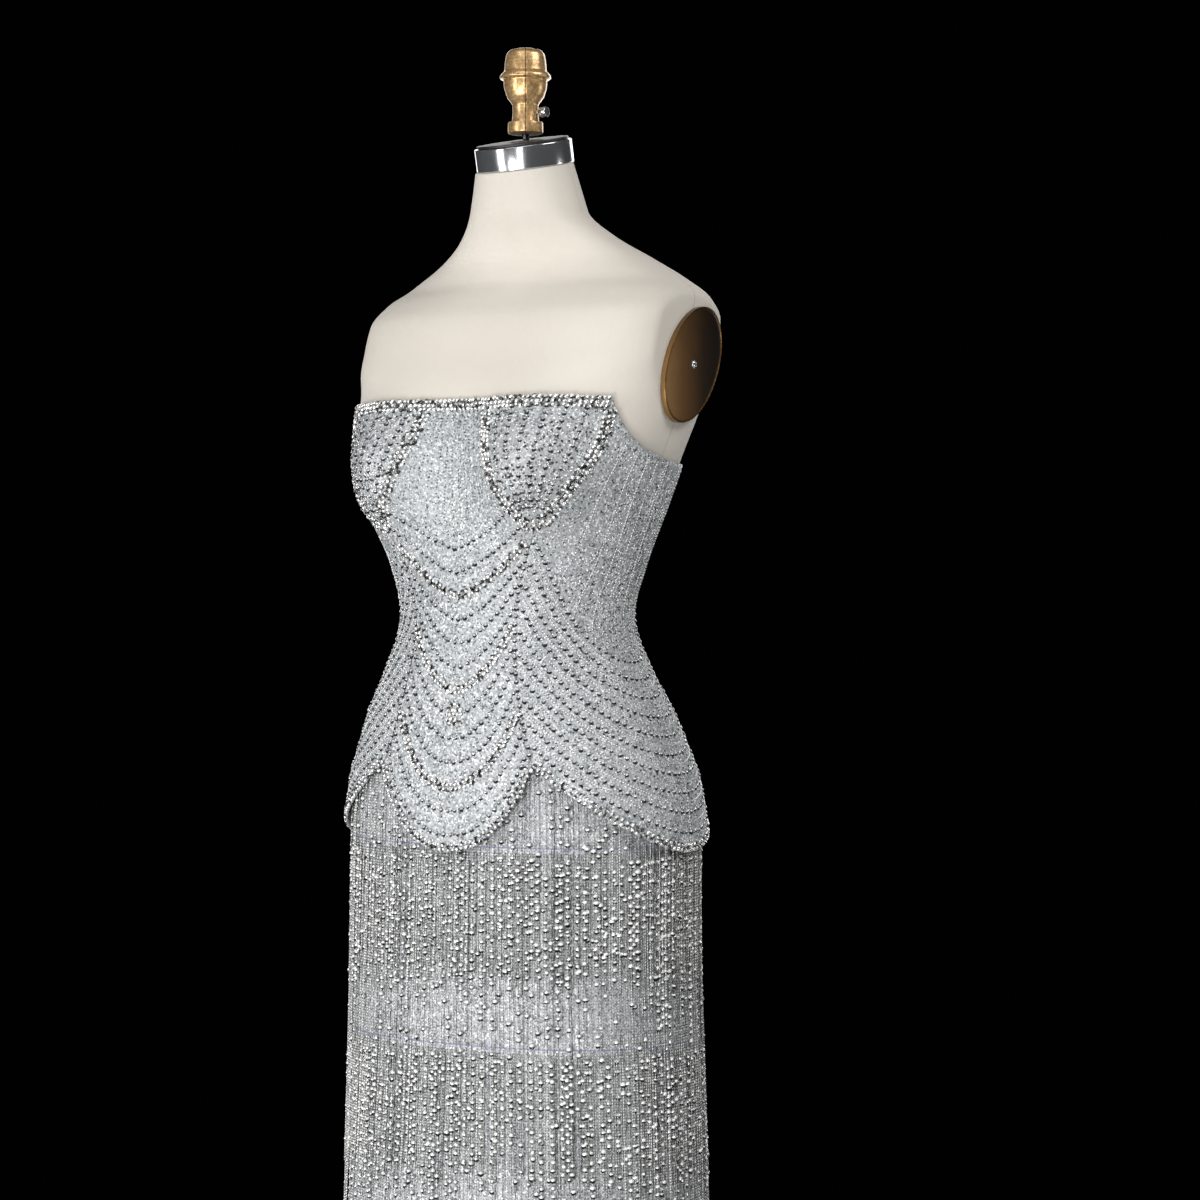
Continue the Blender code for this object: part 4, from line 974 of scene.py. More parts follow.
# %% Arm plates
PLATE_Y, PLATE_Z = 0.027, 1.283
PLATE_HALF_DEPTH, PLATE_HALF_HEIGHT = 0.040, 0.064
PLATE_LEAN = math.radians(40)
PLATE_THICKNESS, PLATE_RIM, PLATE_DISH = 0.0050, 0.0010, 0.0008
PLATE_SCREW_RADIUS, PLATE_SCREW_HEIGHT = 0.0040, 0.0022
inner_edge = (PLATE_HALF_DEPTH - PLATE_RIM) / PLATE_HALF_DEPTH
plate_floor = PLATE_THICKNESS - PLATE_DISH
for side_name, side in (("left", 1), ("right", -1)):
    outward = Matrix.Rotation(-PLATE_LEAN, 4, "X") @ Matrix.Rotation(side * math.pi / 2, 4, "Y")
    oval = Matrix.Diagonal((PLATE_HALF_HEIGHT, PLATE_HALF_DEPTH, 1.0, 1.0))
    plate = turned("bronze_plate_" + side_name, rounded((
        (0.0, plate_floor + 0.0009), (0.30, plate_floor + 0.0008), (0.55, plate_floor + 0.0006),
        (0.78, plate_floor + 0.0003), (inner_edge - 0.03, plate_floor), (inner_edge, plate_floor),
        (inner_edge + 0.003, PLATE_THICKNESS), (0.996, PLATE_THICKNESS),
        (1.0, PLATE_THICKNESS - 0.001), (1.0, 0.0), (0.0, 0.0)), 0.002, 2), 112)
    rim_faces = [
        face.index for face in plate.data.polygons
        if face.center.xy.length > inner_edge - 0.002 and face.center.z > PLATE_THICKNESS - 0.0009]
    seat = Matrix.Translation((side * (ARM_PLANE + SEAM_GAP), PLATE_Y, PLATE_Z))
    plate.data.transform(seat @ outward @ oval)
    finished(plate, bronze, "bronze", "arm_plate_" + side_name)
    plate.data.materials.append(worn_edge)
    for index in rim_faces:
        plate.data.polygons[index].material_index = 1
    head = turned("plate_screw_head_" + side_name, rounded((
        (0.0, PLATE_SCREW_HEIGHT), (PLATE_SCREW_RADIUS * 0.8, PLATE_SCREW_HEIGHT * 0.85),
        (PLATE_SCREW_RADIUS, 0.0008), (PLATE_SCREW_RADIUS, 0.0), (0.0, 0.0)), 0.0008, 3), 40)
    for turned_by in (0.0, math.pi / 2):
        deselect()
        bpy.ops.mesh.primitive_cube_add(size=1.0, location=(0, 0, PLATE_SCREW_HEIGHT))
        slot_cutter = bpy.context.object
        slot_size = Matrix.Diagonal((PLATE_SCREW_RADIUS * 1.1, 0.0009, 0.0018, 1.0))
        slot_cutter.data.transform(Matrix.Rotation(turned_by, 4, "Z") @ slot_size)
        cut = head.modifiers.new("cross", "BOOLEAN")
        cut.operation = "DIFFERENCE"
        cut.object = slot_cutter
        apply_modifiers(head)
        bpy.data.objects.remove(slot_cutter, do_unlink=True)
    seat = Matrix.Translation((side * (ARM_PLANE + 2 * SEAM_GAP + plate_floor), PLATE_Y, PLATE_Z))
    head.data.transform(seat @ outward @ Matrix.Rotation(math.radians(20), 4, "Z"))
    finished(head, chrome, "chrome", "plate_screw_" + side_name)

# %% The zip keeps its modelled shapes and takes the chrome
for name in ("zip_slider", "zip_pull"):
    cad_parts[name].material_slots[0].material = chrome
    print(name, "in", chrome.name)

# %% [markdown]
# ## The bodice
# The bodice is cut in panels that meet at seams under the crystal ropes. Each panel is a fine
# sheet, 1.6 mm thick, over the body.

# %% Edges of the bodice panels
ROWS, CUP_ROWS = 68, 36
HALF_GAP = SEAM_GAP / 2

outline = curve_points(CUP_OUTLINE, 2 * CUP_ROWS)
lower = curve_points((tuple(outline[CUP_ROWS]),) + FRONT_SEAM[1:], ROWS - CUP_ROWS)
front_edge = np.concatenate([outline[:CUP_ROWS + 1], lower[1:]])
side_edge = np.concatenate([outline[:CUP_ROWS - 1:-1], lower[1:]])
side_seam = curve_points(SIDE_SEAM, ROWS)
back_seam = curve_points(BACK_SEAM, ROWS)
centre_back = line_points((CENTRE_BACK, UNDERARM_HEIGHT), (CENTRE_BACK, LOBE_TIP), ROWS)
print("panel edges with", ROWS, "steps")

# %% Grids of the bodice panels
front_right = shifted(front_edge, -HALF_GAP)
front_left = front_right * (-1, 1)
FRONT_COLUMNS, CUP_COLUMNS, SIDE_COLUMNS, BACK_COLUMNS = 56, 36, 56, 32
front_grid = patch(
    front_left, front_right, line_points(front_left[0], front_right[0], FRONT_COLUMNS),
    hem_points(front_left[-1, 0], front_right[-1, 0], FRONT_COLUMNS))

cup = shifted(outline, HALF_GAP)
cup_left, cup_right = cup[:CUP_ROWS + 1], cup[:CUP_ROWS - 1:-1]
cup_grid = relaxed(patch(
    cup_left, cup_right, line_points(cup_left[0], cup_right[0], CUP_COLUMNS),
    np.repeat(cup[CUP_ROWS][None], CUP_COLUMNS + 1, axis=0)), 400)

side_left, side_right = shifted(side_edge, HALF_GAP), shifted(side_seam, -HALF_GAP)
armhole = curve_points((tuple(side_left[0]),) + ARMHOLE[1:-1] + (tuple(side_right[0]),), SIDE_COLUMNS)
side_front_grid = patch(
    side_left, side_right, armhole, hem_points(side_left[-1, 0], side_right[-1, 0], SIDE_COLUMNS))

side_left, side_right = shifted(side_seam, HALF_GAP), shifted(back_seam, -HALF_GAP)
side_back_grid = patch(
    side_left, side_right, line_points(side_left[0], side_right[0], SIDE_COLUMNS),
    hem_points(side_left[-1, 0], side_right[-1, 0], SIDE_COLUMNS))

back_left, back_right = shifted(back_seam, HALF_GAP), shifted(centre_back, -HALF_GAP)
back_grid = patch(
    back_left, back_right, line_points(back_left[0], back_right[0], BACK_COLUMNS),
    hem_points(back_left[-1, 0], back_right[-1, 0], BACK_COLUMNS))
print("front panel", front_grid.shape[:2], "cup", cup_grid.shape[:2], "points")


# %% Bodice panels
def beaded_panel(name, grid, node):
    """One bodice panel from its grid, rows from the top down."""
    rising = grid[::-1]
    turns, heights = rising[..., 0], rising[..., 1]
    outs = bodice_out(heights) + BODICE_WALL
    piece = cloth_panel(name, turns, heights, outs, BODICE_WALL)
    if name.startswith("beaded_cup"):
        bpy.context.view_layer.objects.active = piece
        bpy.ops.object.mode_set(mode="EDIT")
        bpy.ops.mesh.select_all(action="SELECT")
        bpy.ops.mesh.remove_doubles(threshold=0.00002)
        bpy.ops.object.mode_set(mode="OBJECT")
    finished(piece, beaded, "beaded_cloth", node)
    declare_sheet(turns, heights, outs)
    return piece


def mirrored(grid):
    return grid[:, ::-1] * (-1, 1)


beaded_panel("beaded_front", front_grid, "bodice_front")
for name, grid, node in (
    ("beaded_cup", cup_grid, "cup"),
    ("beaded_side_front", side_front_grid, "bodice_side_front"),
    ("beaded_side_back", side_back_grid, "bodice_side_back"),
    ("beaded_back", back_grid, "bodice_back"),
):
    beaded_panel(name + "_left", grid, node + "_left")
    beaded_panel(name + "_right", mirrored(grid), node + "_right")

# %% [markdown]
# ## The skirt
# Under the fringe hangs a plain column skirt of silver glitter mesh, in three panels with seams at
# the sides and the centre back. Its size is set by the hips and it hangs almost straight, so each
# panel is an even grid over the same body surface, a little further out.

# %% Skirt panels
SKIRT_EASE, SKIRT_WALL = 0.0014, 0.0012
SKIRT_ROWS = 90
gap = math.degrees(HALF_GAP / FIGURE[0, 1])
for name, node, start, end in (
    ("mesh_skirt_front", "skirt_front", -SIDE_TURN + gap, SIDE_TURN - gap),
    ("mesh_skirt_back_left", "skirt_back_left", SIDE_TURN + gap, CENTRE_BACK - gap),
    ("mesh_skirt_back_right", "skirt_back_right", CENTRE_BACK + gap, 360.0 - SIDE_TURN - gap),
):
    columns = round((end - start) / 2.0)
    heights, turns = np.meshgrid(
        np.linspace(HEM_HEIGHT, SKIRT_TOP, SKIRT_ROWS), np.linspace(start, end, columns), indexing="ij")
    outs = np.full_like(turns, SKIRT_EASE + SKIRT_WALL)
    piece = cloth_panel(name, turns, heights, outs, SKIRT_WALL)
    finished(piece, mesh_silver, "mesh_cloth", node)
    declare_sheet(turns, heights, outs)

# %% [markdown]
# ## Stones
# A crystal is a flat-backed stone with eight slanted facets round a flat table. A cup sequin is a
# shallow cone with eight facets, and a sparkle is a seed bead that happens to face the light. All
# stay under thirty triangles, because there are thousands.

# %% Stones
CRYSTAL_SIZE, CUP_SEQUIN, SPARKLE = 0.0054, 0.0057, 0.0022
crystal_shape = stone_shape(
    lambda: bpy.ops.mesh.primitive_cone_add(vertices=8, radius1=0.5, radius2=0.26, depth=0.44), CRYSTAL_SIZE)
sequin_shape = stone_shape(
    lambda: bpy.ops.mesh.primitive_cone_add(vertices=8, radius1=0.5, radius2=0.0, depth=0.30), CUP_SEQUIN)
sparkle_shape = stone_shape(
    lambda: bpy.ops.mesh.primitive_cone_add(vertices=5, radius1=0.5, radius2=0.0, depth=0.40), SPARKLE)
for name, shape in (("crystal", crystal_shape), ("sequin", sequin_shape), ("sparkle", sparkle_shape)):
    print(name, len(shape[1]), "triangles")


# %% Places for stones
def spaced(path, spacing, shift=0.0):
    """Places a fixed distance apart along a path, measured on the body itself."""
    path = np.array(path, float)
    points = figure(path[:, 0], path[:, 1])
    lengths = np.concatenate([[0.0], np.cumsum(np.linalg.norm(np.diff(points, axis=0), axis=1))])
    count = max(1, int((lengths[-1] - shift) / spacing))
    wanted = shift + spacing * (np.arange(count) + 0.5) * (lengths[-1] - shift) / (count * spacing)
    return np.stack([np.interp(wanted, lengths, path[:, axis]) for axis in (0, 1)], axis=1)


def band_places(path, offsets, spacing):
    """Rows of stones beside a path, each row shifted half a stone along."""
    found = []
    for number, offset in enumerate(offsets):
        found.append(spaced(shifted(path, offset), spacing, (number % 2) * spacing / 2))
    return np.concatenate(found)


def both_sides(places):
    return np.concatenate([places, places * (-1, 1)])


def sew(name, shape, places, finish, slot, *nodes, spread=0.12, lift=0.0, size=1.0, **shading):
    """Sew stones on the bodice's outside, with a little scatter in size."""
    turn, height = places[:, 0], places[:, 1]
    sizes = size * draws.uniform(0.86, 1.14, len(places))
    out = bodice_out(height) + BODICE_WALL + lift
    places = (turn, height, out)
    return sewn_on(name, shape, places, finish, slot, *nodes, tilt=spread, scale=sizes, **shading)


# %% [markdown]
# ## Crystal ropes
# Rows of crystals, set close, outline the gown: three along the straight neckline and the cups,
# and two along the scallops. They hide the seams and weigh down the edges. Each stone is painted
# lighter on one side of its own and darker on the other, a painted highlight and painted shade of its
# facets.

# %% Crystal ropes
ROPE_INSET = 0.0050
ROPE_LIFT = 0.0009
ROPE_PITCH = 0.0048
ROPE_ROWS = (-0.0039, 0.0, 0.0039)
SCALLOP_PITCH = 0.0050
SCALLOP_ROWS = (-0.0028, 0.0016)
CLEAR_OF_NOTCH = 1.0

edge, level = CUP_OUTLINE[-1][0], NECKLINE_HEIGHT - ROPE_INSET
neckline = line_points((-edge, level), (edge, level), 60)
# Each rope crystal is painted lighter on one side and darker on the other, as painted highlight and shade
sew("neckline_crystals", crystal_shape, band_places(neckline, ROPE_ROWS, ROPE_PITCH), crystal, "crystal",
    "neckline_rope", spread=0.45, lift=ROPE_LIFT, split=0.7)
cup_line = curve_points(CUP_OUTLINE, 120)
cup_line = cup_line[cup_line[:, 1] < level - 0.005]
for side_name, side in (("left", 1), ("right", -1)):
    sew("cup_crystals_" + side_name, crystal_shape,
        band_places(cup_line, ROPE_ROWS, ROPE_PITCH) * (side, 1), crystal, "crystal",
        "cup_rope_" + side_name, spread=0.45, lift=ROPE_LIFT, split=0.7)

(front_lobe, hip_lobe, back_lobe) = LOBES
for name, centre, half_span in (
    ("front", front_lobe[0], front_lobe[1]), ("left", hip_lobe[0], hip_lobe[1]),
    ("right", -hip_lobe[0], hip_lobe[1]), ("back", back_lobe[0], back_lobe[1]),
):
    reach = half_span - CLEAR_OF_NOTCH
    rim = hem_points(centre - reach, centre + reach, 120) + (0.0, ROPE_INSET)
    # Each scallop crystal gets painted highlight and painted shade on opposite sides
    sew("scallop_crystals_" + name, crystal_shape, band_places(rim, SCALLOP_ROWS, SCALLOP_PITCH),
        crystal, "crystal", "scallop_rope_" + name, spread=0.40, lift=ROPE_LIFT, size=0.92, split=0.8)

# %% [markdown]
# ## Rows of beading on the bodice
# The beading is laid out in a plain, traditional way. Nested swags hang down the middle of the
# front, every fourth one of crystals and the others of dotted cup sequins on a line of seed beads.
# More rows sweep round each hip in the shape of the scallop below them, one follows the front seam,
# and fine lines of seed beads fill what is left.

# %% Where a row hangs
SEAM_LINES = {"front": np.array(FRONT_SEAM[::-1]), "back": np.array(BACK_SEAM[::-1])}


def seam_turn(seam, height):
    line = SEAM_LINES[seam]
    return np.interp(height, line[:, 1], line[:, 0])


def swag(centre, left, right, low, rise, power, steps=80):
    """A row that hangs between two turns, lowest at its centre."""
    turns = np.linspace(left, right, steps)
    reach = np.where(turns < centre, centre - left, right - centre)
    return np.stack([turns, low + rise * (np.abs(turns - centre) / reach) ** power], axis=1)


# %% Rows in front, on the hips and behind
FRONT_ROWS, FRONT_TOP, FRONT_STEP = 13, 1.112, 0.0220
front_swags = []
for number in range(FRONT_ROWS):
    part = number / (FRONT_ROWS - 1)
    low = FRONT_TOP - FRONT_STEP * number
    rise = 0.046 + 0.028 * part
    half = seam_turn("front", min(low + rise, 1.130)) - 1.2
    front_swags.append(swag(0.0, -half, half, low, rise, 1.35 + 0.95 * part))

LOWEST_ROW = LOBE_TIP + 0.0185
HIP_ROWS, HIP_STEP = 10, 0.0172
hip_swags = []
for number in range(HIP_ROWS):
    part = number / (HIP_ROWS - 1)
    low = LOWEST_ROW + HIP_STEP * number
    rise = 0.080 + 0.036 * part
    ends = [seam_turn(name, low + rise) for name in ("front", "back")]
    hip_swags.append(swag(SIDE_TURN, ends[0] + 1.2, ends[1] - 1.2, low, rise, 1.95 + 0.6 * part, 140))

BACK_ROWS, BACK_STEP = 6, 0.0175
back_swags = []
for number in range(BACK_ROWS):
    low = LOWEST_ROW + BACK_STEP * number
    rise = 0.078 - 0.004 * number
    half = CENTRE_BACK - seam_turn("back", low + rise) - 1.5
    back_swags.append(swag(CENTRE_BACK, CENTRE_BACK - half, CENTRE_BACK + half, low, rise, 2.1))
print("rows:", len(front_swags), "in front,", len(hip_swags), "on each hip,", len(back_swags), "behind")

# %% Sew the crystal swags and the round cluster
DOT_PITCH, ROW_SEED_PITCH = 0.0074, 0.0026
FIRST_CRYSTAL_ROW, CRYSTAL_EVERY = 2, 4
SWAG_ROWS, SWAG_PITCH = (-0.0022, 0.0022), 0.0044
crystal_swags = front_swags[FIRST_CRYSTAL_ROW::CRYSTAL_EVERY]
crystal_rows = [band_places(path, SWAG_ROWS, SWAG_PITCH) for path in crystal_swags]
CLUSTER = (0.0, 0.9580)
CLUSTER_CLEARANCE = 0.014
# Columns: radius of a ring of the cluster, number of stones on it.
CLUSTER_RINGS = ((0.0, 1), (0.0048, 6), (0.0094, 12))
# On the flat front a degree is wider than the body's average
FRONT_DEGREES = 0.83 / METRES_PER_DEGREE
cluster = [
    (CLUSTER[0] + ring * math.cos(2 * math.pi * k / count) * FRONT_DEGREES,
     CLUSTER[1] + ring * math.sin(2 * math.pi * k / count))
    for ring, count in CLUSTER_RINGS for k in range(count)]
# Each front crystal gets painted highlight and painted shade on opposite sides
sew("front_crystals", crystal_shape, np.concatenate(crystal_rows + [np.array(cluster)]), crystal, "crystal",
    spread=0.40, lift=0.0009, split=0.7)

# %% Sew the rows of dotted sequins and seed beads
seam_row = curve_points(FRONT_SEAM, 80)[6:-2]
cup_columns = [cup_grid[2:round(CUP_ROWS * 0.88), column] for column in range(5, CUP_COLUMNS - 4, 5)]


def beaded_rows(pitch):
    """Every plain row of the bodice as places a pitch apart, clear of the round cluster."""
    middle = [
        path for number, path in enumerate(front_swags) if number % CRYSTAL_EVERY != FIRST_CRYSTAL_ROW]
    rows = [spaced(path, pitch) for path in middle + back_swags]
    rows += [both_sides(spaced(path, pitch)) for path in hip_swags + cup_columns + [seam_row]]
    rows = np.concatenate(rows)
    away = np.hypot(rows[:, 0] * METRES_PER_DEGREE, rows[:, 1] - CLUSTER[1])
    return rows[away > CLUSTER_CLEARANCE]


# Each seed bead in the rows gets painted highlight and painted shade on opposite sides
sew("row_seeds", sparkle_shape, beaded_rows(ROW_SEED_PITCH), crystal, "crystal", spread=0.4, lift=0.0004,
    split=0.5)
# Each dotted sequin is painted darker toward its lower edge, as painted shade
sew("dotted_sequins", sequin_shape, beaded_rows(DOT_PITCH), dark_sequin, "crystal", spread=0.25,
    lift=0.0012, size=0.86, lip=0.85)

# %% [markdown]
# ## Sparkles and fine lines
# The cloth's own beads are drawn by its finish, but here and there one faces the light and flashes.
# Those are real little stones, scattered at random and thinned where rows cover the cloth. Short
# single rows fan down the middle of the front, and fine lines of seed beads fill the sides and
# the back.

# %% Sparkles scattered over the beaded cloth
SPARKLES, CUP_SCATTER = 18000, 330
EDGE_CLEARANCE = 0.003
# Columns: turn, share of the sparkles that stay: the middle of the front has rows instead.
THINNING = np.array(((20.0, 0.3), (55.0, 1.0)))
armhole_line = curve_points(ARMHOLE, 60)
scatter = np.stack([
    draws.uniform(-180.0, 180.0, SPARKLES), draws.uniform(LOBE_TIP, NECKLINE_HEIGHT, SPARKLES)], axis=1)
top_edge = np.interp(
    np.abs(scatter[:, 0]), armhole_line[:, 0], armhole_line[:, 1],
    left=NECKLINE_HEIGHT, right=UNDERARM_HEIGHT)
inside = scatter[:, 1] < top_edge - EDGE_CLEARANCE
inside &= scatter[:, 1] > hem_height(scatter[:, 0]) + EDGE_CLEARANCE
inside &= draws.uniform(0, 1, SPARKLES) < np.interp(np.abs(scatter[:, 0]), *THINNING.T)
sew("sparkles", sparkle_shape, scatter[inside], silver_sequin, "crystal", spread=0.5, lift=0.0002)
cup_scatter = cup_grid[
    draws.integers(2, CUP_ROWS - 3, CUP_SCATTER), draws.integers(1, CUP_COLUMNS, CUP_SCATTER)]
cup_scatter = cup_scatter + draws.normal(0.0, 1.0, cup_scatter.shape) * (0.7, 0.0015)
sew("cup_seeds", sparkle_shape, both_sides(cup_scatter), crystal, "crystal",
    spread=0.4, lift=0.0003, size=1.5)

# %% Single rows of seed beads that fan down the middle of the front
fan = []
for number in range(-6, 7):
    top_turn, end_turn = number * 1.7, number * 4.1
    end_height = 1.118 + 0.046 * abs(end_turn / 31.0) ** 1.35
    fan.append(spaced(line_points((top_turn, 1.238), (end_turn, end_height), 30), 0.0030))
sew("fan_beads", sparkle_shape, np.concatenate(fan), dark_sequin, "crystal", spread=0.3, lift=0.0002,
    size=0.8)

# %% Helpers for fine lines of seed beads
LINE_RADIUS = 0.0006


def bead_line(path):
    path = np.array(path, float)
    out = bodice_out(path[:, 1]) + BODICE_WALL + LINE_RADIUS * 0.4
    place, _, _, outward = stand_on(path[:, 0], path[:, 1], out)
    return place, outward


def between(paths, count):
    """Lines laid evenly between each two neighbouring rows."""
    found = []
    for low, high in zip(paths, paths[1:]):
        for step in range(1, count + 1):
            part = step / (count + 1)
            found.append(low * (1 - part) + high * part)
    return found


# %% Lines between the rows of the hips
LINES_BETWEEN_ROWS = 1
hip_lines = between(hip_swags, LINES_BETWEEN_ROWS)
lines = hip_lines + [path * (-1, 1) for path in hip_lines]
print(len(lines), "lines on the hips")

# %% Lines down the sides
SIDE_LINES, SIDE_LINES_START, SIDE_LINE_STEP = 12, 58.0, 7.2
# From this line on toward the back they run straight down
UPRIGHT_FROM = 9
SIDE_LINE_LEAN, SIDE_LINE_BEND = 24.0, 4.0
top_hip = hip_swags[-1]
side_lines = []
for number in range(SIDE_LINES):
    start_turn = SIDE_LINES_START + number * SIDE_LINE_STEP
    start_height = float(np.interp(start_turn, armhole_line[:, 0], armhole_line[:, 1])) - 0.004
    start_height = start_height if start_turn < ARMHOLE[-1][0] else UNDERARM_HEIGHT - EDGE_CLEARANCE
    end_turn = start_turn - SIDE_LINE_LEAN * max(0.0, 1.0 - number / UPRIGHT_FROM)
    end_height = float(np.interp(end_turn, top_hip[:, 0], top_hip[:, 1])) + 0.006
    parts = np.linspace(0.0, 1.0, 40)
    bend = SIDE_LINE_BEND * np.sin(parts * math.pi) * (1.0 - number / (SIDE_LINES - 1))
    side_lines.append(np.stack([
        start_turn + (end_turn - start_turn) * parts + bend,
        start_height + (end_height - start_height) * parts], axis=1))
lines += side_lines + [path * (-1, 1) for path in side_lines]
print(len(lines), "lines with the sides")

# %% Lines down the back and over the seams
BACK_LINES_A_SIDE, BACK_LINE_STEP, BACK_LINE_END = 4, 7.6, 1.025
for number in range(-BACK_LINES_A_SIDE, BACK_LINES_A_SIDE + 1):
    turn = CENTRE_BACK + number * BACK_LINE_STEP
    if number:
        lines.append(line_points((turn, UNDERARM_HEIGHT - EDGE_CLEARANCE), (turn, BACK_LINE_END), 24))
for seam in (SIDE_SEAM, BACK_SEAM):
    lines += [curve_points(seam, 60) * (side, 1) for side in (1, -1)]
tubes("seed_bead_lines", [bead_line(path) for path in lines], LINE_RADIUS, 4, line_beads, "beaded_cloth")

# %% [markdown]
# ## The fringe
# Each tier is a tape sewn round the skirt, with a string of glass beads every four or five
# millimetres. The strings hang straight and sway a little. Near the top of each tier they carry
# close-set cup sequins, and further down fewer, so the skirt shows bright and quiet bands. Every
# second string is nearly bare, which leaves the others to show as separate lines. Each string gets
# its own length and its own end to the close-set part, which keeps the bands soft. Each cup's lower
# rim is drawn dark, as painted shade under a hanging cup.

# %% Measures of the fringe
# Columns: height of the tape's top, height of the strings' ends.
TIERS = ((0.923, 0.700), (0.838, 0.520), (0.656, 0.330), (0.474, 0.140), (0.292, 0.0125))
STRIP_HEIGHT = 0.008
STRIP_OUTER = 0.0046
STRAND_INNER, STRAND_OUTER = 0.0054, 0.0080
STRINGS_PER_TIER = 232
STRING_RADIUS = 0.0006
STRING_STEP = 0.013
# How far each string stands off its even place, how uneven the ends are, and how much it sways
PLACE_JITTER, UNEVEN_ENDS, SWAY = 0.30, 0.030, 0.045
HEM_UNEVEN_ENDS = 0.003
SEQUIN_PITCH, PITCH_JITTER = 0.0080, 0.0014
# Shares of the sequins' places that are filled
CLOSE_SET, FAR_SET, UNDER_PEPLUM = 0.95, 0.22, 0.30
CLOSE_LENGTH, CLOSE_SCATTER, CLOSE_FADE = 0.135, 0.022, 0.030
CARRIES_SOME, BARE = 0.2, 0.10
print("one string every", round(2 * math.pi * FIGURE[0, 1] / STRINGS_PER_TIER * 1000, 1), "mm at the hem")

# %% Tie the strings and their sequins
for number, (top, end) in enumerate(TIERS, 1):
    strings, sequins = [], []
    for index in range(STRINGS_PER_TIER):
        jitter = draws.uniform(-PLACE_JITTER, PLACE_JITTER)
        turn = 360.0 * (index + 0.5 * (number % 2) + jitter) / STRINGS_PER_TIER
        low = end + draws.uniform(0.0, UNEVEN_ENDS if number < len(TIERS) else HEM_UNEVEN_ENDS)
        count = int((top - STRIP_HEIGHT - low) / STRING_STEP) + 1
        heights = np.linspace(top - STRIP_HEIGHT * 0.6, low, count)
        sway = np.cumsum(draws.normal(0.0, SWAY, count)) * 0.5
        out = STRAND_INNER + (STRAND_OUTER - STRAND_INNER) * draws.uniform(0.0, 1.0)
        outs = np.full(count, out)
        outs[0] = STRIP_OUTER + STRING_RADIUS
        place, across, up, outward = stand_on(turn + sway, heights, outs)
        strings.append((place, outward))
        first = top - STRIP_HEIGHT - 0.002 - draws.uniform(0.0, SEQUIN_PITCH)
        steps = np.arange(first, low + 0.003, -SEQUIN_PITCH)
        steps = steps + draws.uniform(-PITCH_JITTER, PITCH_JITTER, len(steps))
        close_end = CLOSE_LENGTH + draws.normal(0.0, CLOSE_SCATTER)
        fade = np.clip((top - steps - close_end) / CLOSE_FADE + 0.5, 0.0, 1.0)
        bare = index % 2 and draws.uniform() > CARRIES_SOME
        rich = BARE if bare else draws.uniform(0.75, 1.0)
        share = (CLOSE_SET * (1.0 - fade) + FAR_SET * fade) * rich
        if number == 1:
            share = np.full(len(steps), UNDER_PEPLUM * rich)
        steps = steps[draws.uniform(0, 1, len(steps)) < share]
        side_turn = turn + np.interp(-steps, -heights, sway)
        sequins.append(np.stack([side_turn, steps, np.full(len(steps), out + STRING_RADIUS)], axis=1))
    tubes("fringe_strings_%d" % number, strings, STRING_RADIUS, 3, string_beads, "bead_fringe",
          "fringe_tier_%d" % number)
    places = np.concatenate(sequins)
    # Each fringe sequin is painted darker toward its lower edge, as painted shade
    sewn_on("fringe_sequins_%d" % number, sequin_shape, places.T, silver_sequin, "bead_fringe",
            tilt=0.34, scale=draws.uniform(0.80, 1.14, len(places)), lip=0.76)

# %% [markdown]
# ## Light and floor
# A tall soft key lamp stands on the picture's left and leaves the right side darker. Narrow lamps
# near the camera pick out the beads, and a low one reaches the fringe. A lamp high on the right
# fills the shade under the arm, and a wide lamp behind lights the back. The lamps in front also
# make the upright streaks on the neck ring, so they stand low enough to keep the rest of the ring
# dark. The floor is plain and pale.


# %% Lamps
def lamp(name, side_degrees, distance, height, width, tall, watts, aim_height):
    """A soft lamp placed round the form from the camera's own direction."""
    light = bpy.data.lights.new(name, "AREA")
    light.shape = "RECTANGLE"
    light.size, light.size_y = width, tall
    light.energy = watts
    holder = bpy.data.objects.new(name, light)
    bpy.context.collection.objects.link(holder)
    turn = VIEW_TURN + math.radians(side_degrees)
    holder.location = (math.sin(turn) * distance, -math.cos(turn) * distance, height)
    aim = Vector((0.0, 0.0, aim_height)) - holder.location
    holder.rotation_euler = aim.to_track_quat("-Z", "Y").to_euler()
    print(name, watts, "W")


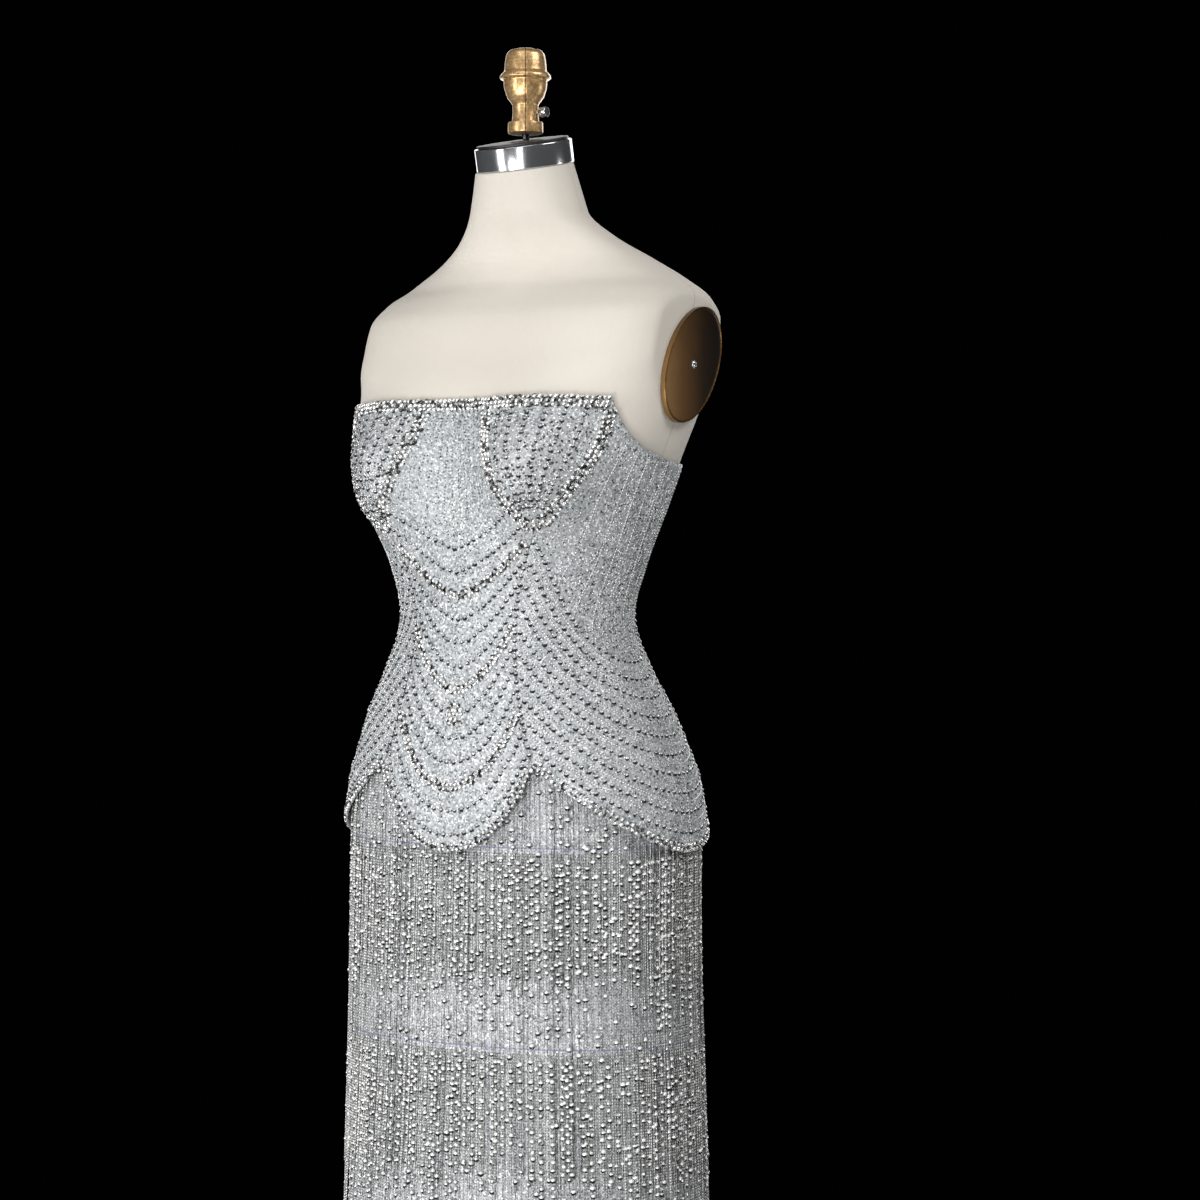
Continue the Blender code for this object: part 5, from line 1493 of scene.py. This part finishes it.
# Columns: name, degrees round from the camera, distance, height, width, tallness, watts, and the
# height that it points at.
LAMPS = (
    ("key lamp", -58.0, 2.6, 1.10, 0.55, 2.00, 31.0, 1.05),
    ("front lamp", -9.0, 3.4, 1.95, 0.50, 1.50, 5.0, 1.05),
    ("streak lamp", -10.0, 2.3, 0.96, 0.26, 1.00, 14.5, 0.92),
    ("low lamp", -30.0, 2.3, 0.38, 0.60, 0.75, 28.5, 0.42),
    ("fill lamp", 62.0, 2.2, 3.00, 1.40, 1.10, 37.0, 1.50),
    ("top lamp", -20.0, 1.3, 3.00, 1.80, 1.60, 15.0, 1.05),
    ("side lamp", 92.0, 2.6, 1.10, 0.50, 0.60, 6.5, 1.25),
    ("back lamp", 172.0, 3.2, 1.70, 3.20, 2.60, 78.0, 1.05),
)
for row in LAMPS:
    lamp(*row)

# %% A dark studio
world = bpy.data.worlds.new("dark studio")
world.use_nodes = True
world.node_tree.nodes["Background"].inputs["Color"].default_value = linear("020203")
world.node_tree.nodes["Background"].inputs["Strength"].default_value = 0.5
bpy.context.scene.world = world
bpy.context.scene.view_settings.view_transform = "Standard"
print("world:", world.name)

# %% Floor
FLOOR_RADIUS = 1.9
deselect()
bpy.ops.mesh.primitive_circle_add(
    vertices=128, radius=FLOOR_RADIUS, fill_type="NGON", location=(0, 0, -0.0005))
floor = settle(bpy.context.object)
floor.name = "studio_floor"
floor_paint, tree, shader = new_finish("pale studio floor", Roughness=0.75)
where = add_node(tree, "TexCoord").outputs["Object"]
mottle = add_node(tree, "TexNoise", {"Vector": where, "Scale": 3.0})
pale = add_node(tree, "ValToRGB", {"Fac": mottle}, stops=((0.3, "ACACAB"), (0.7, "B0B0AF")))
tree.links.new(pale.outputs[0], shader.inputs["Base Color"])
floor.data.materials.append(floor_paint)
print("floor", 2 * FLOOR_RADIUS, "m across")

# %% Sizes, and the end
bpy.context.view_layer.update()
added = [piece for piece in bpy.data.objects if piece.type == "MESH" and piece.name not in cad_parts]
for piece in added:
    piece.data.calc_loop_triangles()
print("triangles added:", sum(len(piece.data.loop_triangles) for piece in added))
